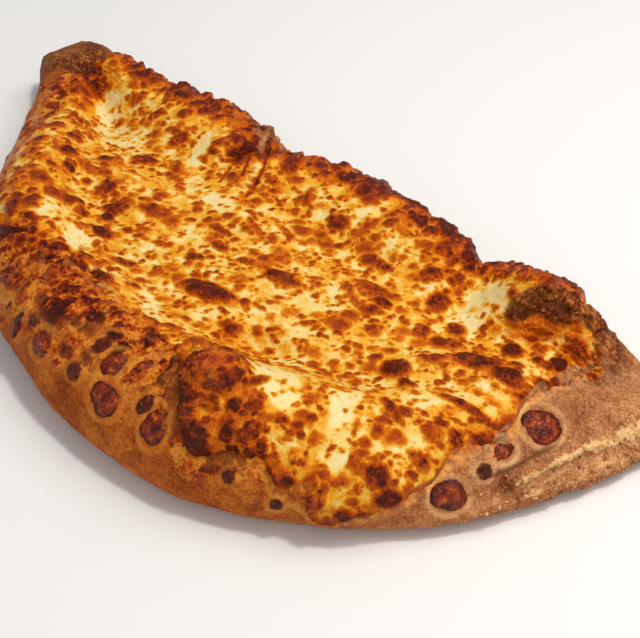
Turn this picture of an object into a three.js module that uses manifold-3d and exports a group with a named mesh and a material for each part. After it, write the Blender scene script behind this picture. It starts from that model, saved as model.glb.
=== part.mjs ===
// A calzone: a half-moon of folded bread dough, baked with a sheet of cheese melted over its top.
// Units are millimetres and +Z is up. +X runs along the straight folded side, from the ear at -X to the
// tail at +X, +Y points at that straight side, and the belly bulges towards -Y. The dough rests on z = 0.
import * as THREE from "three";
import { mergeVertices } from "three/addons/utils/BufferGeometryUtils.js";
import Module from "manifold-3d";

const wasm = await Module();
wasm.setup();

// ---- driving dimensions ----
const LENGTH = 366; // ear to tail
const EAR = 10; // how far the ear is drawn out beyond the half-moon
const EAR_SWELL = 8; // how far its corner stands out past the fold
const BELLY_REACH = 150; // from the line between the tips to the outermost belly
const BELLY_LEAN = 10; // how far the fullest part of the belly lies towards the tail
const FOLD_REACH = 25; // from that line to the outermost folded side
const BULGE_HEIGHT = 12; // where the side wall reaches furthest out
const TIP_BULGE_HEIGHT = 6; // the same at the ear and the tail
const BASE_INSET = 9; // from the outermost wall to the edge of the flat base
const FOLD_SHOULDER = 24; // from the outermost fold to the crest of its rim
const VALLEY_RUN = 27; // from a crest to the level floor of the valley
const VALLEY_REACH = 58; // from the line between the tips to the middle of the valley
const VALLEY_TO_EAR = 56; // from the ear's tip to the near end of the valley's middle line
const VALLEY_TO_TAIL = 62; // the same at the tail
const SEAM_HEIGHT = 11; // the groove between the upper and the lower layer of dough
const SEAM_WIDTH = 2;
const SEAM_DEPTH = 3;
const LAYER_STEP = 6; // how far the upper layer stands back from the lower one
const CHEESE = 2.6; // thickness of the melted sheet
const CHEESE_EDGE = 1.1; // its thickness at the outline
const CLEARANCE = 0.35; // between the dough and what has melted onto it
const SPOT_SINK = 1.2; // how deep a cheese spot's middle lies, so that its rim meets the curved crust

// ---- how finely the surfaces are divided ----
const STATIONS = 48; // from ear to tail, on each side
const CREST_UP = 0.45; // where the crest lies between the bulge, 0, and the middle of the valley, 1
const BASE_UP = -0.35; // where the edge of the base lies between the bulge and the middle of the base, -1
const SKIN_RINGS = [-1, -0.68, BASE_UP, -0.22, -0.1, 0, 0.06, 0.12, 0.18, 0.25, 0.34, CREST_UP,
  0.53, 0.6, 0.67, 0.75, 0.84, 0.92, 1];
const CHEESE_RINGS = 11;
const SPOT_SIDES = 12;
const BUMP_SIDES = 8;

// ---- small helpers ----
const mix = (a, b, share) => a * (1 - share) + b * share;
const bell = (distance, reach) => Math.exp(-((distance / reach) ** 2));
const ramp = (low, high, value) => THREE.MathUtils.smoothstep(value, low, high);

// A smooth curve through [place, value] knots.
function through(...knots) {
  return (place) => {
    const last = knots.length - 1;
    let k = 0;
    while (k < last - 1 && place > knots[k + 1][0]) k++;
    const [p0, v0] = knots[k];
    const [p1, v1] = knots[k + 1];
    const slope = (i) => {
      const before = knots[Math.max(i - 1, 0)];
      const after = knots[Math.min(i + 1, last)];
      return (after[1] - before[1]) / (after[0] - before[0]);
    };
    const span = p1 - p0;
    const s = THREE.MathUtils.clamp((place - p0) / span, 0, 1);
    const bend = s * (s - 1) * span;
    return mix(v0, v1, s * s * (3 - 2 * s)) + bend * (s - 1) * slope(k) + bend * s * slope(k + 1);
  };
}

// Repeatable draws between 0 and 1.
function draws(seed) {
  let state = seed;
  return () => {
    state = (state * 16807) % 2147483647;
    return state / 2147483647;
  };
}

// ---- the plan of the dough ----
// A station runs from 0 at the ear to 1 at the tail. A side follows the sine of the half turn between them,
// raised to its fullness: the lower that is, the blunter its end.
const bellyFullness = through([0, 1.75], [0.1, 1.85], [0.19, 1.8], [0.24, 1.62], [0.3, 1.4], [0.4, 1.6],
  [0.5, 1.3], [0.6, 1.28], [0.7, 1.41], [0.78, 1.49], [0.86, 1.72], [0.93, 2.05], [1, 2.2]);
const foldFullness = through([0, 0.15], [0.3, 0.2], [0.8, 0.26], [0.9, 0.3], [1, 0.38]);
const FOLD_WAVES = [
  { x: -64, out: 2.5, reach: 13 }, // the swelling before the pinch
  { x: -35, out: -6, reach: 10 }, // the pinch
  { x: 13, out: 4, reach: 22 },
  { x: 78, out: -7, reach: 7 }, // the notch beside the hump
  { x: 107, out: 2, reach: 22 }, // the hump
  { x: 145, out: 8, reach: 20 }, // the root of the tail
];
const BELLY_WAVES = [
  { x: -62, out: 3.5, reach: 18 },
  { x: 52, out: 1.5, reach: 14 }, // under the blown bubble
  { x: 93, out: -1.5, reach: 9 }, // where cheese has run down
  { x: 133, out: 1, reach: 8 },
];

const waves = (list, x) => list.reduce((sum, w) => sum + w.out * bell(x - w.x, w.reach), 0);

function outline(station, onBelly) {
  const turn = Math.PI * station;
  const arc = Math.sin(turn);
  const half = (LENGTH - EAR) / 2;
  const drawnOut = EAR * (ramp(0, 0.14, station) - 0.5);
  if (onBelly) {
    const x = drawnOut - half * Math.cos(turn) + BELLY_LEAN * arc ** 2;
    return [x, -BELLY_REACH * arc ** bellyFullness(station) - waves(BELLY_WAVES, x) * arc];
  }
  const evenly = 0.85; // the folded side's stations are spaced almost evenly
  const x = drawnOut + half * mix(-Math.cos(turn), 2 * station - 1, evenly);
  const swell = EAR_SWELL * bell(station - 0.055, 0.045);
  return [x, swell + FOLD_REACH * arc ** foldFullness(station) + waves(FOLD_WAVES, x) * arc];
}

const stations = Array.from({ length: STATIONS + 1 }, (_, i) => i / STATIONS);
const bellyEdge = Math.min(...stations.map((station) => outline(station, true)[1]));
const foldEdge = Math.max(...stations.map((station) => outline(station, false)[1]));
const MIDDLE_Y = -(bellyEdge + foldEdge) / 2; // puts the origin at the middle of the plan

// The line under the valley that all sections reach to. The sections round each tip share its end.
const spineShare = (station) => THREE.MathUtils.clamp((station - 0.12) / 0.74, 0, 1);

function spine(station) {
  const share = spineShare(station);
  const x = mix(-LENGTH / 2 + VALLEY_TO_EAR, LENGTH / 2 - VALLEY_TO_TAIL, share);
  return [x, mix(-10, -VALLEY_REACH, Math.sin(Math.PI * share))];
}

// ---- the heights of the dough ----
const bellyCrest = through([0, 31], [0.16, 33], [0.3, 37], [0.42, 38], [0.6, 38], [0.7, 33], [0.8, 28],
  [0.9, 22], [1, 17]);
const foldCrest = through([0, 31], [0.1, 33], [0.2, 34], [0.32, 35], [0.42, 30], [0.52, 34], [0.64, 34],
  [0.7, 30], [0.8, 35], [0.9, 30], [0.95, 25], [1, 17]);
const valleyFloor = through([0, 24], [0.5, 27], [0.8, 25], [1, 22]); // along the spine
// From the belly's wall to the crest of its rim.
const bellyShoulder = through([0, 22], [0.3, 27], [0.42, 30], [0.55, 35], [0.75, 34], [1, 30]);

// Swellings and dents in the top: long and wide are half-lengths, turned by angle degrees from +X.
const LUMPS = [
  { x: 50, y: -58, long: 16, wide: 14, angle: 20, high: 12 }, // the blown bubble on the belly
  { x: 112, y: 65, long: 22, wide: 15, angle: -25, high: 9 }, // the hump by the tail
  { x: 84, y: 55, long: 17, wide: 12, angle: 70, high: -6 }, // the scoop in front of it
  { x: -110, y: 43, long: 22, wide: 17, angle: 35, high: -6 }, // the scoop behind the ear
  { x: -37, y: 61, long: 22, wide: 3.2, angle: 62, high: -8 }, // the crease of the pinch
  { x: -48, y: 53, long: 20, wide: 9, angle: 62, high: 4 }, // the folds beside it
  { x: -25, y: 55, long: 18, wide: 9, angle: 62, high: 3 },
  { x: 39, y: -24, long: 16, wide: 8, angle: 25, high: -6 }, // the hollow behind the blown bubble
  { x: -76, y: 7, long: 28, wide: 10, angle: 10, high: 4 }, // low ridges under the cheese
  { x: -12, y: 25, long: 26, wide: 11, angle: -12, high: 3 },
  { x: 48, y: 21, long: 24, wide: 10, angle: 15, high: 3 },
  { x: 100, y: 15, long: 20, wide: 8, angle: 40, high: 4 },
  { x: 74, y: -15, long: 18, wide: 8, angle: 10, high: -3 },
];

// Creases across the rim by the ear, each with the swelling that laps over it.
for (const [x, y] of [[-68, -52], [-57, -57], [-44, -62]]) {
  LUMPS.push({ x, y, long: 17, wide: 3, angle: 68, high: 2.6 });
  LUMPS.push({ x: x + 5, y, long: 17, wide: 2.4, angle: 68, high: -1.8 });
}

function lumpHeight(x, y) {
  return LUMPS.reduce((sum, lump) => {
    const turn = THREE.MathUtils.degToRad(lump.angle);
    const along = (x - lump.x) * Math.cos(turn) + (y - lump.y) * Math.sin(turn);
    const across = (y - lump.y) * Math.cos(turn) - (x - lump.x) * Math.sin(turn);
    return sum + lump.high * bell(along, lump.long) * bell(across, lump.wide);
  }, 0);
}

// How open the seam is: it shows on the belly side of the tail only.
const seamOpen = (station, onBelly) => (onBelly ? ramp(0.7, 0.82, station) : 0);

// ---- the skin of the dough ----
// around runs 0..1 along the belly from ear to tail, then 1..2 back along the fold. up runs from -1, the
// middle of the base, through 0, the outermost bulge, to 1, the middle of the valley.
function skin(around, up, lumpy = true) {
  const onBelly = around <= 1;
  const station = onBelly ? around : 2 - around;
  const [outX, outY] = outline(station, onBelly);
  const [inX, inY] = spine(station);
  const depth = Math.hypot(inX - outX, inY - outY);
  const bulge = mix(TIP_BULGE_HEIGHT, BULGE_HEIGHT, ramp(0, 0.2, station) * ramp(0, 0.4, 1 - station));
  let inset;
  let z;
  if (up < BASE_UP) {
    inset = mix(BASE_INSET, depth, (up - BASE_UP) / (-1 - BASE_UP));
    z = 0;
  } else if (up < 0) {
    const turn = (up / BASE_UP) * (Math.PI / 2);
    inset = BASE_INSET * (1 - Math.cos(turn));
    z = bulge * (1 - Math.sin(turn));
  } else {
    const crest = (onBelly ? bellyCrest : foldCrest)(station);
    const shoulder = Math.min(onBelly ? bellyShoulder(station) : FOLD_SHOULDER, depth * 0.55);
    if (up < CREST_UP) {
      const turn = (up / CREST_UP) * (Math.PI / 2);
      inset = shoulder * (1 - Math.cos(turn));
      z = mix(bulge, crest, Math.sin(turn));
    } else {
      const share = (up - CREST_UP) / (1 - CREST_UP);
      const runs = Math.max(1, (depth - shoulder) / VALLEY_RUN);
      inset = mix(shoulder, depth, share);
      z = mix(crest, valleyFloor(spineShare(station)), ramp(0, 1, share * runs));
    }
    const open = seamOpen(station, onBelly) * (1 - ramp(0.3, CREST_UP, up));
    inset += open * SEAM_DEPTH * bell(z - SEAM_HEIGHT, SEAM_WIDTH);
    inset += open * LAYER_STEP * ramp(SEAM_HEIGHT - 1, SEAM_HEIGHT + 4, z);
  }
  const x = mix(outX, inX, inset / depth);
  const y = mix(outY, inY, inset / depth) + MIDDLE_Y;
  if (lumpy && up > 0) z += lumpHeight(x, y) * ramp(0.12, 0.42, up);
  return new THREE.Vector3(x, y, z);
}

// The direction out of the skin, lumps left aside: straight down from the base, straight up over the valley.
function outOf(around, up) {
  if (up < BASE_UP) return new THREE.Vector3(0, 0, -1);
  const step = 0.004;
  const wrap = (value) => (value + 2) % 2;
  const smooth = (a, u) => skin(wrap(a), u, false);
  const along = smooth(around + step, up).sub(smooth(around - step, up));
  const over = smooth(around, Math.min(up + step, 1)).sub(smooth(around, Math.max(up - step, -1)));
  const out = along.cross(over).normalize();
  return out.lerp(new THREE.Vector3(0, 0, 1), ramp(0.35, 0.6, up)).normalize();
}

const raised = (around, up, height) => skin(around, up).addScaledVector(outOf(around, up), height);

// ---- solids ----
// A closed solid of triangles. Corners are rounded to a thousandth so that equal ones can be made one, and
// the triangles that this flattens are dropped.
function solid(points, triangles) {
  const rounded = points.map((p) => p.clone().multiplyScalar(1000).round().divideScalar(1000));
  const loose = new THREE.BufferGeometry().setFromPoints(rounded).setIndex([...triangles]);
  const merged = mergeVertices(loose, 1e-4);
  const corners = merged.index.array;
  const kept = [];
  for (let t = 0; t < corners.length; t += 3) {
    const [a, b, c] = corners.slice(t, t + 3);
    if (a !== b && b !== c && c !== a) kept.push(a, b, c);
  }
  const vertProperties = merged.attributes.position.array;
  return new wasm.Manifold(new wasm.Mesh({ numProp: 3, vertProperties, triVerts: new Uint32Array(kept) }));
}

// Closes a stack of rings into a solid. The first and the last ring are the spine, which has no width.
function ringSolid(rings) {
  const count = 2 * STATIONS;
  const triangles = [];
  for (let low = 0; low < rings.length - 1; low++) {
    for (let i = 0; i < count; i++) {
      const next = (i + 1) % count;
      const [a, b] = [low * count + i, low * count + next];
      const [c, d] = [b + count, a + count];
      triangles.push(a, b, c, a, c, d);
    }
  }
  return solid(rings.flat(), triangles);
}

const ring = (place) => Array.from({ length: 2 * STATIONS }, (_, i) => place(i / STATIONS));

// The dough, grown outwards by some height over its whole skin.
const dough = (grown) => ringSolid(SKIN_RINGS.map((up) => ring((around) => raised(around, up, grown))));

// A flattened, slightly uneven ball on the skin, its middle raised by lift. long, wide and high are
// half-lengths, and the long one is turned by angle degrees from +X.
function lens({ around, up, long, wide = long, high, angle = 0 }, lift, sides) {
  const ball = new THREE.SphereGeometry(1, sides, Math.ceil(sides / 2) + 1).rotateX(Math.PI / 2);
  ball.deleteAttribute("normal");
  ball.deleteAttribute("uv");
  const merged = mergeVertices(ball, 1e-4);
  const corners = merged.attributes.position;
  const phase = 10 * Math.PI * (around + up); // another unevenness for each place
  const points = Array.from({ length: corners.count }, (_, i) => {
    const corner = new THREE.Vector3().fromBufferAttribute(corners, i);
    const turn = Math.atan2(corner.y, corner.x);
    const uneven = 1 + 0.07 * Math.sin(2 * turn + phase) + 0.05 * Math.sin(3 * turn + 2 * phase);
    return corner.multiply(new THREE.Vector3(uneven * long, uneven * wide, high));
  });
  const out = outOf(around, up);
  const turned = THREE.MathUtils.degToRad(angle);
  const side = new THREE.Vector3(Math.cos(turned), Math.sin(turned), 0);
  side.addScaledVector(out, -side.dot(out)).normalize();
  const place = new THREE.Matrix4().makeBasis(side, out.clone().cross(side), out);
  place.setPosition(raised(around, up, lift));
  return solid(points.map((point) => point.applyMatrix4(place)), merged.index.array);
}

// ---- the crust ----
// Small dark blisters of the dough itself.
const CRUST_BLISTERS = [
  { around: 0.48, up: 0.34, long: 4, wide: 3, high: 1.4, angle: 70 },
  { around: 0.472, up: 0.21, long: 3.6, high: 1.8 },
  { around: 0.536, up: 0.25, long: 4.5, wide: 3, high: 1.4, angle: 80 },
  { around: 0.776, up: 0.17, long: 3.4, high: 1.5 },
  { around: 0.64, up: 0.05, long: 2.8, high: 1.2 },
  { around: 0.4, up: 0.15, long: 5, wide: 3, high: 1.3, angle: 80 },
  { around: 0.608, up: 0.13, long: 3, wide: 2.4, high: 1.2 },
];

// ---- the cheese ----
// Where the sheet ends: up, as a function of around.
const cheeseEnd = through([0, 0.68], [0.05, 0.64], [0.13, 0.38], [0.18, 0.32], [0.22, 0.22], [0.28, 0.18],
  [0.32, 0.24], [0.35, 0.4], [0.38, 0.5], [0.44, 0.52], [0.49, 0.5], [0.53, 0.46], [0.55, 0.4], [0.575, 0.2],
  [0.6, 0.2], [0.62, 0.23], [0.64, 0.13], [0.655, 0.04], [0.67, -0.06], [0.685, 0], [0.71, 0.07],
  [0.735, 0.16], [0.76, 0.25], [0.8, 0.32], [0.83, 0.45], [0.87, 0.54], [0.93, 0.62], [1, 0.66], [1.05, 0.6],
  [1.12, 0.34], [1.2, 0.2], [1.4, 0.16], [1.6, 0.18], [1.8, 0.2], [1.9, 0.3], [1.95, 0.56], [2, 0.68]);

// The sheet's two faces. Its lower one is sunk into the dough, which cuts it to shape afterwards.
function cheeseSheet() {
  const shares = Array.from({ length: CHEESE_RINGS + 1 }, (_, i) => i / CHEESE_RINGS);
  const face = (share, height) => ring((around) => raised(around, mix(cheeseEnd(around), 1, share), height));
  const thickness = (share) => mix(CHEESE_EDGE, CHEESE, ramp(0, 0.12, share));
  const lower = shares.map((share) => face(share, -CHEESE / 2)).reverse();
  const upper = shares.map((share) => face(share, thickness(share) + CLEARANCE));
  return ringSolid([...lower, ...upper]);
}

// The blisters of the cheese: a large round one, the long one, those about the bubble and the place where
// cheese has run down, and some on the ridges.
const BLISTERS = [
  { around: 0.716, up: 0.68, long: 6.5, wide: 6, high: 3.6 },
  { around: 0.724, up: 0.56, long: 4, high: 2.2 },
  { around: 0.512, up: 0.82, long: 15, wide: 4, high: 2.8, angle: 14 },
  { around: 0.812, up: 0.59, long: 6, wide: 4, high: 2.8, angle: 20 },
  { around: 0.828, up: 0.89, long: 5, wide: 4, high: 2.4 },
  { around: 0.856, up: 0.73, long: 3, high: 2.2 },
  { around: 0.792, up: 0.55, long: 8, wide: 5, high: 2.6, angle: 35 },
  { around: 0.572, up: 0.28, long: 7, wide: 5, high: 2.2, angle: 75 },
  { around: 0.588, up: 0.25, long: 7, wide: 6, high: 2.4, angle: 60 },
  { around: 0.604, up: 0.29, long: 3, high: 2 },
  { around: 0.712, up: 0.2, long: 6, wide: 4.5, high: 2.4 },
  { around: 0.668, up: 0.11, long: 4, high: 2 },
  { around: 0.65, up: 0.19, long: 4, wide: 3, high: 2 },
  { around: 0.756, up: 0.72, long: 4, wide: 3, high: 2 },
  { around: 0.748, up: 0.36, long: 4.5, high: 2 },
  { around: 1.28, up: 0.72, long: 4, wide: 3, high: 2.2 },
  { around: 1.304, up: 0.58, long: 3.5, wide: 5, high: 2.2 },
  { around: 0.376, up: 0.66, long: 4.5, wide: 3.5, high: 2.4 },
  { around: 0.32, up: 0.63, long: 4, high: 2.2 },
  { around: 0.356, up: 0.65, long: 3, high: 2 },
  { around: 0.352, up: 0.87, long: 7, wide: 4, high: 2.4, angle: 20 },
  { around: 0.264, up: 0.94, long: 5, wide: 3, high: 2 },
  { around: 1.68, up: 0.76, long: 4, high: 2 },
  { around: 1.584, up: 0.46, long: 4, wide: 3, high: 2 },
  { around: 0.468, up: 0.92, long: 3.5, high: 2 },
  { around: 1.436, up: 0.96, long: 6, wide: 3, high: 2, angle: 10 },
];

// Crisp bumps of browned cheese along the outer edge of the fold.
const CRAGS = 16;
const draw = draws(41);
const crags = Array.from({ length: CRAGS }, (_, i) => {
  const around = mix(1.18, 1.9, (i + 0.6 * draw()) / CRAGS);
  const up = cheeseEnd(around) + mix(0.03, 0.13, draw());
  const [long, wide] = [mix(3, 5.5, draw()), mix(2.5, 4, draw())];
  return { around, up, long, wide, high: mix(1.8, 2.8, draw()), angle: mix(-30, 30, draw()) };
});

// Spots of browned cheese that lie on the bare crust by themselves.
const SPOTS = [
  { around: 0.432, up: 0.19, long: 6.5, wide: 5.5, high: 3, angle: 80 },
  { around: 0.496, up: 0.31, long: 6, wide: 5, high: 2.8, angle: 60 },
  { around: 0.518, up: 0.33, long: 7, wide: 4, high: 2.8, angle: 75 },
  { around: 0.504, up: 0.19, long: 7.5, wide: 7, high: 3.2 },
  { around: 0.548, up: 0.2, long: 8, wide: 5.5, high: 3.2, angle: 100 },
  { around: 0.824, up: 0.28, long: 8.5, wide: 8, high: 3.4, angle: 40 },
  { around: 0.752, up: 0.1, long: 7.5, wide: 6.5, high: 3.4, angle: 20 },
  { around: 0.79, up: 0.23, long: 5.5, wide: 4.5, high: 2.8, angle: 60 },
];

// ---- the calzone ----
const group = new THREE.Group();

function show(name, made, color, roughness) {
  const mesh = made.getMesh();
  const geometry = new THREE.BufferGeometry();
  geometry.setAttribute("position", new THREE.BufferAttribute(mesh.vertProperties, 3));
  geometry.setIndex(new THREE.BufferAttribute(mesh.triVerts, 1));
  const piece = new THREE.Mesh(geometry, new THREE.MeshStandardMaterial({ color, roughness, metalness: 0 }));
  piece.name = name;
  group.add(piece);
}

const joined = (first, others) => others.reduce((whole, next) => whole.add(next), first);

const doughSolid = dough(0);
const keptClear = dough(CLEARANCE).add(doughSolid.translate([0, 0, 0.8 * CLEARANCE]));
const blisters = CRUST_BLISTERS.map((blister) => lens(blister, 0, BUMP_SIDES));
show("crust", joined(doughSolid, blisters), 0xa86a38, 0.75);

const onSheet = (bump) => lens(bump, CLEARANCE + CHEESE - 0.3 * bump.high, BUMP_SIDES);
const bumps = [...BLISTERS, ...crags].map(onSheet);
show("cheese_sheet", joined(cheeseSheet(), bumps).subtract(keptClear), 0xe0a040, 0.4);

SPOTS.forEach((spot, i) => {
  const name = `cheese_spot_${String(i + 1).padStart(2, "0")}`;
  show(name, lens(spot, -SPOT_SINK, SPOT_SIDES).subtract(keptClear), 0x7a3212, 0.4);
});

export default group;
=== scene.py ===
# %% [markdown]
# # A calzone, baked with cheese on top
# This lesson dresses a packed solid of a calzone: a half-moon of folded bread dough with a sheet of
# cheese melted over its sunken top. The solid gives the true size and the frame. Here the same rules of
# its shape are worked out again on a much finer grid, browning and blisters are laid over them, and
# each surface gets a finish. Everything is in metres in the end; the shape's rules are in millimetres.

# %% The frame
import functools
import math

import bmesh
import bpy
import numpy as np
from mathutils import Matrix, Vector


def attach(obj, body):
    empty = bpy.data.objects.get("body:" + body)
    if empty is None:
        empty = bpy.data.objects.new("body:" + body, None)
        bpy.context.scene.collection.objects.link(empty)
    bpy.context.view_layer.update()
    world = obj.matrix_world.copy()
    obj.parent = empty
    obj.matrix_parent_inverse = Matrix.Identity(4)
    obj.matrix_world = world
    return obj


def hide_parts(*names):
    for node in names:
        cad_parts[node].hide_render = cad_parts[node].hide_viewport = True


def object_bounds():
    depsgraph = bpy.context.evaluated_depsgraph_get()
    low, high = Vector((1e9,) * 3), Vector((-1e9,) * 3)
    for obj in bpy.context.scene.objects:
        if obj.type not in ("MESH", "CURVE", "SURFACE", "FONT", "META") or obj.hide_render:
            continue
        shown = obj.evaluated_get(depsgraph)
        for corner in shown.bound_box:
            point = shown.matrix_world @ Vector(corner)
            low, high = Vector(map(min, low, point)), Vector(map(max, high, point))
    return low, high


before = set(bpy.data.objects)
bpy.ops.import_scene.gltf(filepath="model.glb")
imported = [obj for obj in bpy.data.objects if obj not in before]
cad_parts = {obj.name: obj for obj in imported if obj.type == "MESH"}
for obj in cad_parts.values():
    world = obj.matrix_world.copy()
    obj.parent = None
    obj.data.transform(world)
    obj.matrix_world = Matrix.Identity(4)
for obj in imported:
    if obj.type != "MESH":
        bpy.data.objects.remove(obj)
cad_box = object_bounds()
MM = 0.001
print("solids:", len(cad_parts), "box:", cad_box)

# %% [markdown]
# ## The view
# The calzone lies on a table and is seen from above at about 45 degrees, over its belly and tail. The
# camera could be aimed with a constraint, but its own axes are known, so they are written as the
# columns of its matrix, and nothing has to be worked out.

# %% Camera
CAMERA_AT = (0.27084, -0.28532, 0.38893)
CAMERA_RIGHT = Vector((0.767882, 0.639510, 0.037200))
CAMERA_UP = Vector((-0.470756, 0.523963, 0.709825))
CAMERA_BACK = Vector((0.434449, -0.562575, 0.703395))
IMAGE_WIDTH = 640
FOCAL_PIXELS = 1300

camera_data = bpy.data.cameras.new("camera")
camera_data.sensor_width = 36
camera_data.lens = FOCAL_PIXELS / IMAGE_WIDTH * camera_data.sensor_width
camera = bpy.data.objects.new("camera", camera_data)
turned = Matrix((CAMERA_RIGHT, CAMERA_UP, CAMERA_BACK)).transposed().to_4x4()
camera.matrix_world = Matrix.Translation(CAMERA_AT) @ turned
bpy.context.scene.collection.objects.link(camera)
bpy.context.scene.camera = camera
print("lens", round(camera_data.lens, 2), "mm")

# %% [markdown]
# ## The table and the light
# The table is a plain pale plane. The light is a big soft window high on the right, a weaker one from
# the front, and a pale room all round. Large lamps alone would leave the oily blisters dull, so a small
# strong one is added, and each blister gets a single bright glint.


# %% Floor, lamps and room
def srgb(red, green, blue):
    """A colour as it is read off a screen, 0 to 255, as the linear one that shaders use."""
    shares = np.array([red, green, blue]) / 255
    linear = np.where(shares <= 0.04045, shares / 12.92, ((shares + 0.055) / 1.055) ** 2.4)
    return (*linear.tolist(), 1.0)


def lamp(name, place, size, power, colour):
    """A square soft lamp that looks at the middle of the calzone."""
    data = bpy.data.lights.new(name, "AREA")
    data.size = size
    data.energy = power
    data.color = colour[:3]
    made = bpy.data.objects.new(name, data)
    made.location = place
    made.rotation_euler = (Vector((0, 0, 0.02)) - Vector(place)).to_track_quat("-Z", "Y").to_euler()
    bpy.context.scene.collection.objects.link(made)
    return made


lamp("window", (0.35, 0.45, 1.0), 0.8, 6.6, srgb(255, 252, 246))
lamp("front", (0.55, -0.75, 0.75), 1.2, 2.6, srgb(250, 250, 252))
lamp("glint", (0.25, 0.2, 1.0), 0.1, 4.0, srgb(255, 252, 246))
room = bpy.data.worlds.new("room")
room.use_nodes = True
room.node_tree.nodes["Background"].inputs["Color"].default_value = srgb(238, 240, 245)
room.node_tree.nodes["Background"].inputs["Strength"].default_value = 0.42
bpy.context.scene.world = room
bpy.context.scene.view_settings.view_transform = "Standard"

bpy.ops.mesh.primitive_plane_add(size=6)
floor = bpy.context.object
floor.name = "table"
table_top = bpy.data.materials.new("pale_table")
table_top.use_nodes = True
table_shader = table_top.node_tree.nodes["Principled BSDF"]
table_shader.inputs["Base Color"].default_value = srgb(232, 230, 227)
table_shader.inputs["Roughness"].default_value = 0.6
floor.data.materials.append(table_top)

# %% [markdown]
# ## The rules of the dough's shape
# A real calzone is a disc of dough folded over its filling. Its plan is a half-moon with a straight
# folded side; its section is a rolled rim on both sides of a shallow valley. It could be sculpted, but
# then it would drift from the solid. So the solid's own rules are written again here for whole arrays
# of places at once: `around` runs 0..1 along the belly from the ear to the tail and 1..2 back along
# the fold, and `up` runs from -1, the middle of the base, through 0, the outermost bulge, to 1, the
# middle of the valley.

# %% Named sizes, in millimetres
LENGTH, EAR, EAR_SWELL = 366, 10, 8
BELLY_REACH, BELLY_LEAN, FOLD_REACH = 150, 10, 25
BULGE_HEIGHT, TIP_BULGE_HEIGHT, BASE_INSET = 12, 6, 9
FOLD_SHOULDER, VALLEY_RUN, VALLEY_REACH = 24, 27, 58
VALLEY_TO_EAR, VALLEY_TO_TAIL = 56, 62
SEAM_HEIGHT, SEAM_WIDTH, SEAM_DEPTH, LAYER_STEP = 11, 2, 3, 6
CREST_UP, BASE_UP = 0.45, -0.35
TIP_CELL = 1 / 48  # the last step of the fold before a tip, which is straight


def mix(a, b, share):
    return a * (1 - share) + b * share


def bell(distance, reach):
    return np.exp(-((distance / reach) ** 2))


def ramp(low, high, value):
    s = np.clip((value - low) / (high - low), 0, 1)
    return s * s * (3 - 2 * s)


def through(*knots):
    """A smooth curve through (place, value) knots."""
    places, values = np.array(knots, float).T
    last = len(knots) - 1
    here = np.arange(last + 1)
    before, after = np.maximum(here - 1, 0), np.minimum(here + 1, last)
    slopes = (values[after] - values[before]) / (places[after] - places[before])

    def curve(place):
        k = np.clip(np.searchsorted(places, place) - 1, 0, last - 1)
        span = places[k + 1] - places[k]
        s = np.clip((place - places[k]) / span, 0, 1)
        bend = s * (s - 1) * span
        between = mix(values[k], values[k + 1], s * s * (3 - 2 * s))
        return between + bend * ((s - 1) * slopes[k] + s * slopes[k + 1])

    return curve


print("a crest between knots:", through((0, 31), (0.5, 38), (1, 17))(0.25))

# %% [markdown]
# The two sides of the plan are sine arcs raised to a changing power, with a few waves on them for the
# pinch, the notch and the swellings. Each height is a curve along the rim.

# %% Plan and heights
belly_fullness = through((0, 1.75), (0.1, 1.85), (0.19, 1.8), (0.24, 1.62), (0.3, 1.4), (0.4, 1.6),
                         (0.5, 1.3), (0.6, 1.28), (0.7, 1.41), (0.78, 1.49), (0.86, 1.72),
                         (0.93, 2.05), (1, 2.2))
fold_fullness = through((0, 0.15), (0.3, 0.2), (0.8, 0.26), (0.9, 0.3), (1, 0.38))
FOLD_WAVES = [(-64, 2.5, 13), (-35, -2.5, 10), (13, 4, 22), (78, -7, 7), (107, 2, 22), (145, 8, 20)]
BELLY_WAVES = [(-62, 3.5, 18), (52, 1.5, 14), (93, -1.5, 9), (133, 1, 8)]
belly_crest = through((0, 31), (0.16, 33), (0.3, 37), (0.42, 38), (0.6, 38), (0.7, 33), (0.8, 28),
                      (0.9, 22), (1, 17))
fold_crest = through((0, 31), (0.1, 33), (0.2, 34), (0.32, 35), (0.42, 30), (0.52, 34), (0.64, 34),
                     (0.7, 30), (0.8, 35), (0.9, 30), (0.95, 25), (1, 17))
valley_floor = through((0, 24), (0.5, 27), (0.8, 25), (1, 22))
belly_shoulder = through((0, 22), (0.3, 27), (0.42, 30), (0.55, 35), (0.75, 34), (1, 30))


def waves(swellings, x):
    return sum(out * bell(x - at, reach) for at, out, reach in swellings)


def fold_line(station):
    x = EAR * (ramp(0, 0.14, station) - 0.5)
    x = x + (LENGTH - EAR) / 2 * mix(-np.cos(np.pi * station), 2 * station - 1, 0.85)
    arc = np.sin(np.pi * station)
    y = EAR_SWELL * bell(station - 0.055, 0.045) + FOLD_REACH * arc ** fold_fullness(station)
    return x, y + waves(FOLD_WAVES, x) * arc


def outline(station, on_belly):
    arc = np.sin(np.pi * station)
    belly_x = EAR * (ramp(0, 0.14, station) - 0.5) + BELLY_LEAN * arc**2
    belly_x = belly_x - (LENGTH - EAR) / 2 * np.cos(np.pi * station)
    belly_y = -BELLY_REACH * arc ** belly_fullness(station) - waves(BELLY_WAVES, belly_x) * arc
    fold_x, fold_y = fold_line(np.clip(station, TIP_CELL, 1 - TIP_CELL))
    to_tip = np.clip(np.minimum(station, 1 - station) / TIP_CELL, 0, 1)
    fold_x = mix(np.sign(station - 0.5) * LENGTH / 2, fold_x, to_tip)
    return np.where(on_belly, belly_x, fold_x), np.where(on_belly, belly_y, mix(0, fold_y, to_tip))


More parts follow.
